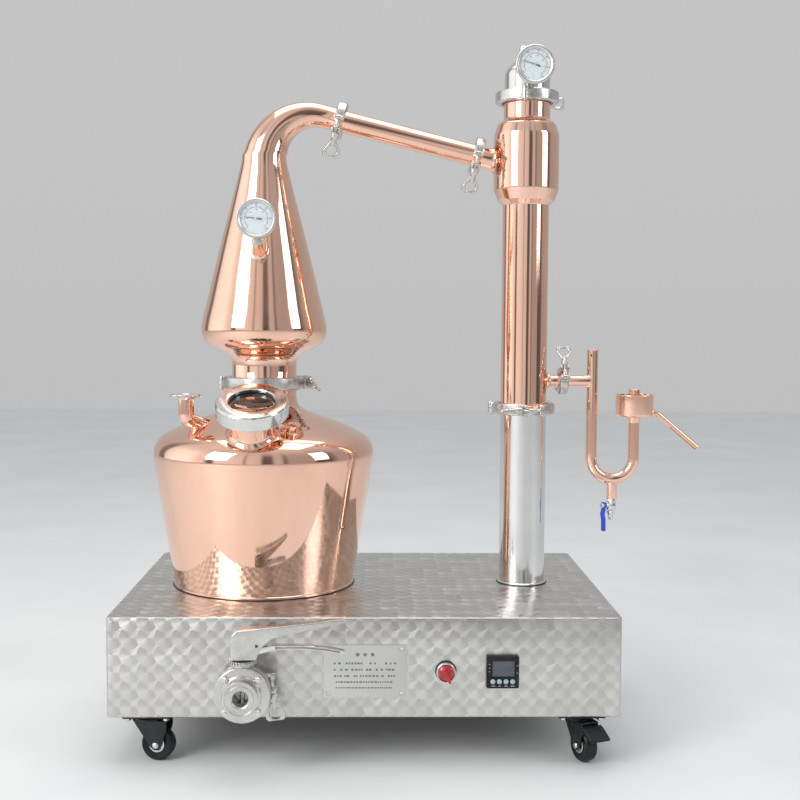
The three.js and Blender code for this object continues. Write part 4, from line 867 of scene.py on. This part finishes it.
def sweep(rings, n):
    verts, layers = [], []
    for x, z, r, a in rings:
        side = Vector((math.sin(a * DEG), 0, -math.cos(a * DEG)))
        layers.append(list(range(len(verts), len(verts) + n)))
        for k in range(n):
            t = 2 * math.pi * k / n
            verts.append(Vector((x, 0, z)) + side * (r * math.cos(t)) + Vector((0, 1, 0)) * (r * math.sin(t)))
    return verts, skin(layers, True)


END = head_rings(0)[-1]
LYNE_START = Vector((END[0], 0, END[1]))
WELL_AXIS = unit(0, -math.cos(38 * DEG), math.sin(38 * DEG))
WELL_END = Vector((POT_X, -60, 756)) + WELL_AXIS * 56


def head():
    shell = sweep(head_rings(0) + list(reversed(head_rings(2))), 112)
    well = facing(WELL_END, WELL_AXIS)
    stub = lathe([(8.5, -56), (11.5, -56), (11.5, 0, 0.8), (8.5, 0)], 48, True)
    root = collar(tree_of(shell), WELL_END - WELL_AXIS * 20, WELL_AXIS, 11.5, 4)
    opened = boolean(shell, [put(rod(8.5, -50, 5, 40, 0), well)])
    piece("head_shell", join(opened, put(stub, well), root), "copper", nodes=["swan_neck_head"], crease=38)


def lyne_arm():
    n = 231
    arm = lathe([(16.3, 0), (25.2, 0, 0.4), (25.2, 3, 0.4), (17.5, 5.2, 2), (17.5, n - 5.2, 2),
                 (25.2, n - 3, 0.4), (25.2, n, 0.4), (16.3, n)], 64, True)
    piece("lyne_tube", arm, "copper", nodes=["lyne_arm"], place=facing(LYNE_START + LYNE, LYNE, (0, 1, 0)))


# ---------------------------------------------------------------- condenser column

COLUMN_X = 260
INLET = LYNE_START + LYNE * 233


def condenser():
    up = [(45.5, 514), (45.5, 517, 0.4), (38, 519.1, 2), (38, 848, 2.5), (46.5, 855.5, 7), (53.5, 873, 12),
          (53.5, 961, 16), (48, 979, 10), (39.2, 985.5, 3), (38, 988, 1.5), (38, 1016.4, 2),
          (45.5, 1018.5, 0.4), (45.5, 1021.5, 0.4)]
    down = [(36, 1021.5), (36, 986), (51.5, 960, 12), (51.5, 874, 12), (36, 850), (36, 514)]
    shell = put(lathe(up + down, 112, True, steps=7), move(COLUMN_X))
    tree = tree_of(shell)
    inlet = facing(INLET, LYNE, (0, 1, 0))
    pipe = lathe([(16.3, 0), (25.2, 0, 0.4), (25.2, 3, 0.4), (17.5, 5.2, 2), (17.5, 46), (16.3, 46)], 64,
                 True)
    outlet = facing((COLUMN_X, 0, 559), (1, 0, 0))
    spigot = lathe([(8.2, 34), (12.6, 34), (12.6, 42, 1), (9.2, 43.4, 1), (9.2, 59.3, 1.5), (17, 61.5, 0.4),
                    (17, 64.5, 0.4), (8.2, 64.5)], 48, True)
    opened = boolean(shell, [put(rod(16.3, 0, 44, 48, 0), inlet), put(rod(8.2, 20, 60, 32, 0), outlet)])
    piece("column_shell", join(opened, put(pipe, inlet), collar(tree, INLET + LYNE * 20, -LYNE, 17.5, 7),
            put(spigot, outlet), collar(tree, (COLUMN_X + 40, 0, 559), (1, 0, 0), 12.6, 3)), "copper",
          nodes=["condenser_column"], crease=38)


def column_cap():
    dome = lathe([(35, 1022.5), (45.5, 1022.5, 0.4), (45.5, 1025.5, 0.4), (37, 1028, 2), (37, 1064, 17),
                  (22, 1081, 16), (0, 1083), (0, 1080.5), (20, 1078.5), (35, 1063, 15)], 96, False, steps=8)
    ring = lathe([(35, 1063), (35, 1022.5)], 96)
    boss = lathe([(4.6, 20), (8, 20), (8, 44, 0.8), (4.6, 44)], 40, True)
    nipple = join(lathe([(0, 1080), (6.2, 1080), (6.2, 1083.5, 0.5), (0, 1083.5)], 24),
                  hexagon(6.4, 1083.4, 1089.4), lathe([(0, 1089), (3.8, 1089), (3.8, 1096.5),
            (6.6, 1097, 0.6), (6.6, 1103.6, 1), (4.6, 1106, 0.8), (0, 1106)], 32))
    piece("cap_dome", join(dome, ring, put(nipple, move(-7)), put(boss, facing((0, 0, 1054), PANEL))),
          "steel", nodes=["column_cap"], place=move(COLUMN_X))


def column_stand():
    profile = [(36, 222.4), (40.4, 222.4, 0.5), (40.4, 224, 0.7), (38, 226, 1.5), (38, 507.9, 2),
               (45.5, 510, 0.4), (45.5, 513, 0.4), (36, 513)]
    piece("stand_tube", lathe(profile, 96, True), "steel", nodes=["column_stand"], place=move(COLUMN_X))
    bead = lathe([(38, 222.1), (42.4, 222.1), (41, 223.6, 1), (38, 224.2)], 96, True)
    piece("stand_gasket", bead, "black", place=move(COLUMN_X))


# ---------------------------------------------------------------- thermometers


def dial(name, place, angle, roll, stem):
    """Dial thermometer facing +z of its placement, 0 to 120 round 270 degrees."""
    case = lathe([(0, 0), (26, 0, 2), (29.5, 3, 2), (30.4, 5.4, 1), (31, 6.4, 0.6), (31, 12.2, 1.2),
                  (29.4, 14, 1), (27.4, 14, 1.2), (24.6, 12, 0.6), (24.4, 9), (0, 9)], 96)
    piece(f"{name}_case", join(case, stem), "satin", nodes=[f"{name}_thermometer"], place=place)
    piece(f"{name}_card", lathe([(0, 9.02), (24.3, 9.02), (24.3, 9.3), (0, 9.3)], 64), "card", place=place)
    marks = [lathe([(17, 9.28), (17.5, 9.28), (17.5, 9.34), (17, 9.34)], 128, True, (-45, 225))]
    for i in range(61):
        a = 225 - 4.5 * i
        long = 2.6 if i % 5 == 0 else 1.3
        marks.append(put(block(long, 0.5 if i % 5 == 0 else 0.26, 0.06, 0, 0.02, 17.3 + long / 2, 0, 9.28),
                         turn(a)))
    for i in range(7):
        a = (225 - 45 * i) * DEG
        marks.append(put(text(str(20 * i), 4), move(21.9 * math.cos(a), 21.9 * math.sin(a), 9.32)))
        if 0 < i < 6:
            marks.append(put(text(str(round(32 + 36 * i)), 2.9), move(13.6 * math.cos(a), 13.6 * math.sin(a),
                    9.32)))
    piece(f"{name}_scale", join(*marks), "ink", place=place @ turn(roll))
    needle = plate([(-19, -0.3), (-4, -0.7), (1.5, -0.8), (3, -1.45, 0.5), (8.6, -1.45, 0.5),
                    (8.6, 1.45, 0.5), (3, 1.45, 0.5), (1.5, 0.8), (-4, 0.7), (-19, 0.3)], 0.5, edge=0.1,
                   z=10.3)
    piece(f"{name}_needle", needle, "ink", f"{name}_pointer", [f"{name}_pointer"], place @ turn(angle))
    hub = lathe([(0, 9.4), (1, 9.4), (1, 10.2), (2.2, 10.2), (2.2, 11, 0.4), (0, 11.3)], 32)
    piece(f"{name}_hub", hub, "satin", f"{name}_pointer", place=place)
    piece(f"{name}_lens", lathe([(0, 12.2), (24.4, 11.8), (24.4, 12.4), (0, 12.9)], 64), "lens", place=place)


def thermometers():
    centre = Vector((POT_X, WELL_END.y - 22, 812))
    place = facing(centre, PANEL)
    inverse = place.inverted()
    well = inverse @ facing(WELL_END, WELL_AXIS)
    yoke = plate([(-7, -40, 6), (7, -40, 6), (8, -4, 3), (-8, -4, 3)], 7, edge=1.2, z=-7.4)
    hinge = put(rod(4.6, -9, 9, 24, 0.8), move(0, -34, -6), turn(90, "Y"))
    parts = [lathe([(0, -8), (10, -8, 1), (10, 0.2), (0, 0.2)], 40), yoke, hinge,
             put(join(hexagon(12.5, 0.5, 9), rod(5.4, -40, 16, 24), lathe([(0, 8.6), (8, 8.6), (6, 13, 1),
            (0, 13)], 24)), well)]
    dial("head", place, -7, 0, join(*parts))
    place = facing((COLUMN_X + 3, -62, 1062), PANEL)
    back = move(-3, -8, 0) @ turn(180, "X")
    parts = [put(join(rod(5.6, -2, 7, 24), hexagon(10, 6, 14.6), rod(4.4, 14, 40, 24)), back)]
    dial("cap", place, -19, -13, join(*parts))


# ---------------------------------------------------------------- parrot


def parrot():
    way = [(374.5, 0, 611), (374.5, 0, 606), (374.5, 0, 598), (374.5, 0, 500), (374.5, 0, 440)]
    way += [(410 + 35.5 * math.cos(a * DEG), 0, 431 + 35.5 * math.sin(a * DEG)) for a in range(180, 361, 6)]
    way += [(445.5, 0, 440), (445.5, 0, 500), (445.5, 0, 545)]
    pipe = tube(way, 9.2, 48, 8.2)
    tree = tree_of(pipe)
    drills = [put(rod(2.3, -12, 12, 24, 0), facing((374.5, 0, 602), d)) for d in ((0.35, 1, 0),
            (1, -0.35, 0))]
    opened = boolean(pipe, drills)
    rims = [put(lathe([(8.1, -0.9), (9.9, -0.9, 0.4), (9.9, 0.9, 0.4), (8.1, 0.9, 0.3)], 48, True),
                move(x, 0, z)) for x, z in ((374.5, 610.1), (445.5, 544.2))]
    reach = 374.5 - 325.5
    inlet = lathe([(8.2, 0), (17, 0, 0.4), (17, 3, 0.4), (9.2, 5.2, 1.5), (9.2, reach - 5), (8.2, reach - 5)],
                  48, True)
    cup = lathe([(0, 500), (31, 500, 5), (31, 535.6, 0.4), (31.5, 536.2, 0.4), (31.2, 537, 0.3),
                 (29.6, 537, 0.4), (29.6, 502, 4), (0, 502)], 96)
    under = lathe([(9, 490), (9.8, 490, 0.4), (11.6, 500.4, 3), (9, 500.4)], 48, True)
    direction = Vector((0.765, 0, -0.644))
    spout = spline([(467, 0, 507), (477, 0, 506.6), (484, 0, 505), (490, 0, 500.6)], 6)
    spout += [Vector((490, 0, 500.6)) + direction * d for d in (6, 40, 80.5)]
    stub = lathe([(5, 362), (8.8, 362, 0.8), (8.8, 392), (5, 392)], 40, True)
    boss = facing((470, 0, 507), (1, 0, 0))
    lug = lathe([(5, 5), (8, 5), (7.6, 8, 0.8), (5, 10)], 32, True)
    piece("parrot_tube", join(opened, *rims, put(inlet, facing((325.5, 0, 559), (1, 0, 0))),
            collar(tree, (360, 0, 559), (-1, 0, 0), 9.2, 5, run=(0, 0, 1)), put(cup, move(446)),
            put(under, move(445.5)), tube(spout, 5, 28, 3.9), put(lug, boss), put(stub, move(410)),
            collar(tree, (410, 0, 380), (0, 0, -1), 8.8, 3.4, run=(1, 0, 0))), "copper", nodes=["parrot"],
          crease=38)


def parrot_valve():
    place = move(409) @ turn(30)
    lathed = lathe([(0, 355), (8, 355), (8.6, 351, 3), (8.2, 345, 2), (6, 342), (0, 342)], 40)
    tail = lathe([(0, 338), (5.2, 338), (5.2, 334.8, 0.6), (4, 334), (4.6, 331.4), (3.7, 329.6), (4.3, 328.6),
                  (3.3, 326.6, 0.4), (0, 326.6)], 32)
    neck = put(rod(4.6, 4, 12, 24), move(0, 0, 352), turn(-90, "Y"))
    body = join(hexagon(8.7, 353, 361.6), lathed, put(hexagon(6.9, -342.6, -337.6), turn(180, "X")), tail,
                neck)
    piece("tap_body", body, "steel", nodes=["parrot_valve_body"], place=place)
    strip = [(-14.2, 5.4, 1), (-14.4, -8, 4), (-16.4, -14, 4), (-14.2, -24, 8), (-13.6, -42, 0.6),
             (-16.6, -44, 0.8), (-17.2, -24, 8), (-19.4, -14, 4), (-17.4, -8, 4), (-17.2, 5.4, 1)]
    lever = put(plate(strip, 9.4, edge=0.9, z=-4.7, steps=6), move(0, 0, 352), STAND_UP)
    piece("tap_lever", lever, "blue", "parrot_valve_lever", ["parrot_valve_lever"], place)
    stem = put(join(rod(2.6, 12.2, 14.4, 20), hexagon(4.6, 17.2, 20), screw(2.4, 19.6, 22)), move(0, 0, 352),
               turn(-90, "Y"))
    piece("tap_nut", stem, "steel", "parrot_valve_lever", place=place)


# ---------------------------------------------------------------- drain valve


def drain_valve():
    place = facing((DRAIN_X, -308, DRAIN_Z), PANEL)
    upright = turn(-90, "X")
    front = [(40, 1.2, 0.8), (40, 12.4, 1.6), (28.5, 13, 2), (27.5, 15.6, 1.2), (19, 16.6, 3), (15, 20.5, 3),
             (15, 24, 2), (25.2, 27.8, 0.5), (25.2, 31, 0.5), (22.4, 31, 0.3), (22, 30), (19.2, 30),
             (18.8, 31, 0.3), (13, 31, 0.6), (11, 29.4, 0.6)]
    rear = [(r, -z, *rest) for r, z, *rest in reversed(front)]
    shell = lathe(rear + [(39.2, 0)] + front, 96, True)
    neck = put(lathe([(0, 20), (14, 20), (12, 38, 4), (11, 44.6), (0, 44.6)], 40), upright)
    gear = []
    for k in range(30):
        for shift, r in ((-4.4, 16.4), (-2.6, 20.4), (2.6, 20.4), (4.4, 16.4)):
            a = (12 * k + shift) * DEG
            gear.append((r * math.cos(a), r * math.sin(a)))
    teeth = put(plate(gear, 4.2, edge=0.35, z=44.4), upright)
    bolts = []
    for a in (45, 135, 225, 315):
        at = move(33.2 * math.cos(a * DEG), 33.2 * math.sin(a * DEG))
        bolts += [put(join(rod(5.4, 12.9, 13.9, 24, 0.2), hexagon(4.6, 13.8, 17.2), screw(2.6, 17, 18.6)), at,
                      turn(flip, "X")) for flip in (0, 180)]
    piece("drain_body", join(shell, neck, teeth), "cast", nodes=["drain_valve_body"], place=place)
    piece("drain_bolts", join(*bolts), "steel", place=place)
    plug = join(lathe([(0, -1.4), (10.2, -1.2, 0.5), (10.7, 0, 0.5), (10.2, 1.2, 0.5), (0, 1.4)], 48),
                put(rod(4, -13, 56, 24), upright))
    piece("drain_disc", plug, "satin", "drain_handle", ["drain_valve_disc"], place)
    outline = [(-16, 50, 1.5), (-14.6, 86, 3), (-9, 92, 5), (140, 107.4, 2), (148.6, 106, 3), (148, 102.6, 2),
               (120, 97.6, 20), (76, 88.5, 60), (42, 80.5, 30), (26, 66, 12), (20.5, 50, 1.5)]
    body = plate(outline, 26, edge=2.4, z=-13, steps=8)
    narrow = lambda x: 1 if x < 10 else 1 - 0.66 * (x - 10) / 138
    body = [Vector((v[0], v[1], v[2] * narrow(v[0]))) for v in body[0]], body[1]
    handle = boolean(body, [cuboid(5, 75, 40, 81, -7.5, 7.5), put(rod(4.4, 40, 57, 24, 0), upright)])
    piece("drain_grip", handle, "cast", "drain_handle", ["drain_valve_handle"], place)
    mark = plate([(19.6, 68.6), (24, 71), (19.6, 73.4)], 0.3, edge=0.1, z=12.95)
    piece("drain_mark", mark, "ink", "drain_handle", place=place)
    lower = spline([(10, 54), (30, 59.6), (44, 63), (66, 64.9), (92, 64.4), (120, 61.6), (144, 58)], 4)
    upper = spline([(145, 62), (120, 67.2), (92, 69.6), (66, 70.6), (42, 70), (24, 67), (10, 64)], 4)
    arm = plate([tuple(p) for p in lower] + [tuple(p) for p in upper], 12, edge=0.5, z=-6)
    hollow = [(47, 64.6), (66, 66.2), (92, 65.8), (120, 63), (139, 60.2), (139, 62), (120, 65.8), (92, 68.3),
              (66, 69.3), (47, 69.2)]
    pocket = plate(hollow, 9, edge=0.3, z=-2)
    piece("drain_squeeze", boolean(arm, [pocket]), "steel", "drain_trigger", ["drain_valve_trigger"], place)


# ---------------------------------------------------------------- the whole still

cabinet()
nameplate()
selector()
controller()
service_plate()
caster("front_left", -323, -216, -12, False)
caster("front_right", 323, -216, -68, True)
caster("rear_left", -323, 216, 35, True)
caster("rear_right", 323, 216, 160, False)
pot()
sight_glass()
drain_pipe()
head()
lyne_arm()
condenser()
column_cap()
column_stand()
thermometers()
parrot()
parrot_valve()
drain_valve()
clamp("pot", POT_SIZE, (POT_X, 0, 554), (0, 0, -1), (0.97, 0.25, 0), 35)
clamp("head", PIPE_SIZE, LYNE_START + LYNE * 0.5, LYNE, (0, -1, -0.3), -25)
clamp("lyne", PIPE_SIZE, INLET - LYNE * 0.5, LYNE, (0, -1, -0.3), -25)
clamp("cap", COLUMN_SIZE, (COLUMN_X, 0, 1022), (0, 0, -1), (0.19, 0.98, 0), 60, proud=-2.5)
clamp("column", COLUMN_SIZE, (COLUMN_X, 0, 513.5), (0, 0, -1), (0.15, -1, 0), 90, (120, -120))
clamp("outlet", OUTLET_SIZE, (325, 0, 559), (-1, 0, 0), (0, -0.87, 0.5))
clamp("drain", PIPE_SIZE, (DRAIN_X, -276.5, DRAIN_Z), (0, 1, 0), (0.99, 0, 0.13), 90)
for node, finish in (("heating_element", "satin"), ("cooling_coil", "copper")):
    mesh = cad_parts[node].data
    mesh.materials.clear()
    mesh.materials.append(MATERIAL[finish])

# ---------------------------------------------------------------- studio


def studio():
    floor = Shader("floor", (0.72, 0.74, 0.75), 0, 0.55)
    floor.put("Base Color", floor.ramp(floor.noise(3, 6), (0.3, (0.69, 0.71, 0.72)),
            (0.7, (0.75, 0.765, 0.775))))
    floor.bump(floor.noise(160, 4), 0.0002, 0.3)
    mesh = bpy.data.meshes.new("floor")
    n, size = 24, 14
    mesh.from_pydata([(size * (i / n - 0.5), size * (j / n - 0.5),
                       0) for j in range(n + 1) for i in range(n + 1)], [], [(j * (n + 1) + i,
            j * (n + 1) + i + 1, (j + 1) * (n + 1) + i + 1,
            (j + 1) * (n + 1) + i) for j in range(n) for i in range(n)])
    mesh.materials.append(floor.material)
    add("floor", mesh)

    for name, at, target, size, power, color in (
        ("key", (-2.1, -2.0, 1.9), (-0.1, 0, 0.5), (1.3, 1.9), 52, (1, 0.985, 0.96)),
        ("side", (2.4, -1.2, 1.6), (0, 0, 0.5), (0.9, 1.6), 14, (0.94, 0.97, 1)),
        ("top", (0, 0.2, 3.1), (0, 0, 0), (2.6, 2.2), 30, (1, 1, 1)),
    ):
        lamp = bpy.data.lights.new(name, "AREA")
        lamp.shape, lamp.size, lamp.size_y = "RECTANGLE", *size
        lamp.energy, lamp.color = power, color
        holder = add(name, lamp)
        holder.location = Vector(at) + ORIGIN
        holder.rotation_euler = (Vector(target) - Vector(at)).to_track_quat("-Z", "Y").to_euler()

    bpy.context.scene.view_settings.view_transform = "Standard"
    # A soft studio round the object: a bright window wall on the left, dimmer to the right.
    world = bpy.data.worlds.new("studio")
    bpy.context.scene.world = world
    world.use_nodes = True
    tree = world.node_tree
    tree.nodes.clear()

    node = partial(add_node, tree)
    split = node("SeparateXYZ", {0: node("TexCoord").outputs["Generated"]})
    x, y, z = split.outputs
    across = node("Math", {0: x, 1: node("Math", {0: y, 1: -1.0}, operation="MULTIPLY").outputs[0]},
                  operation="ARCTAN2").outputs[0]
    angle = node("MapRange", {"Value": across, "From Min": -math.pi, "From Max": math.pi}).outputs[0]

    ramp = partial(add_ramp, tree)
    wall = [(-180, 0.5), (-134, 0.5), (-130, 0.22), (-121, 0.2), (-116, 0.95), (-102, 1.3), (-80, 1.4),
            (-66, 0.95), (-60, 0.9), (-55, 0.16), (-50, 0.14), (-46, 0.95), (-28, 0.88), (-18, 0.8),
            (-15, 0.3), (-12, 0.78), (0, 0.68), (4, 0.1), (12, 0.12), (16, 0.6), (23, 0.56), (26, 0.14),
            (31, 0.42), (56, 0.4), (62, 0.1), (78, 0.12), (88, 0.4), (116, 0.42), (180, 0.5)]
    round_ = ramp(angle, [((a + 180) / 360, v) for a, v in wall])
    height = node("MapRange", {"Value": z, "From Min": -1.0, "From Max": 1.0}).outputs[0]
    level = ramp(height, [(0.0, 0.0), (0.5, 0.0), (0.74, 0.15), (0.87, 0.8), (1.0, 1.0)])
    ceiling = ramp(height, [(0.5, 0.5), (0.85, 0.62), (1.0, 0.85)])
    glow = node("Mix", {"Factor": level}, data_type="RGBA")
    tree.links.new(round_, glow.inputs["A"])
    tree.links.new(ceiling, glow.inputs["B"])
    shown = ramp(height, [(0.45, 0.52), (0.62, 0.56), (0.9, 0.6)])
    camera_only = node("Mix", {"Factor": node("LightPath").outputs["Is Camera Ray"]}, data_type="RGBA")
    tree.links.new(glow.outputs["Result"], camera_only.inputs["A"])
    tree.links.new(shown, camera_only.inputs["B"])
    light = node("Background", {"Color": camera_only.outputs["Result"], "Strength": 1.0})
    node("OutputWorld", {"Surface": light.outputs[0]})


studio()
camera = add("camera", bpy.data.cameras.new("camera"))
camera.data.lens, camera.data.sensor_width = 54, 36
camera.matrix_world = (Matrix.Translation(ORIGIN + Vector((0.0093, -1.9881,
        0.654))) @ turn(-1.307) @ turn(90 - 3.679, "X") @ turn(0.348))
bpy.context.scene.camera = camera
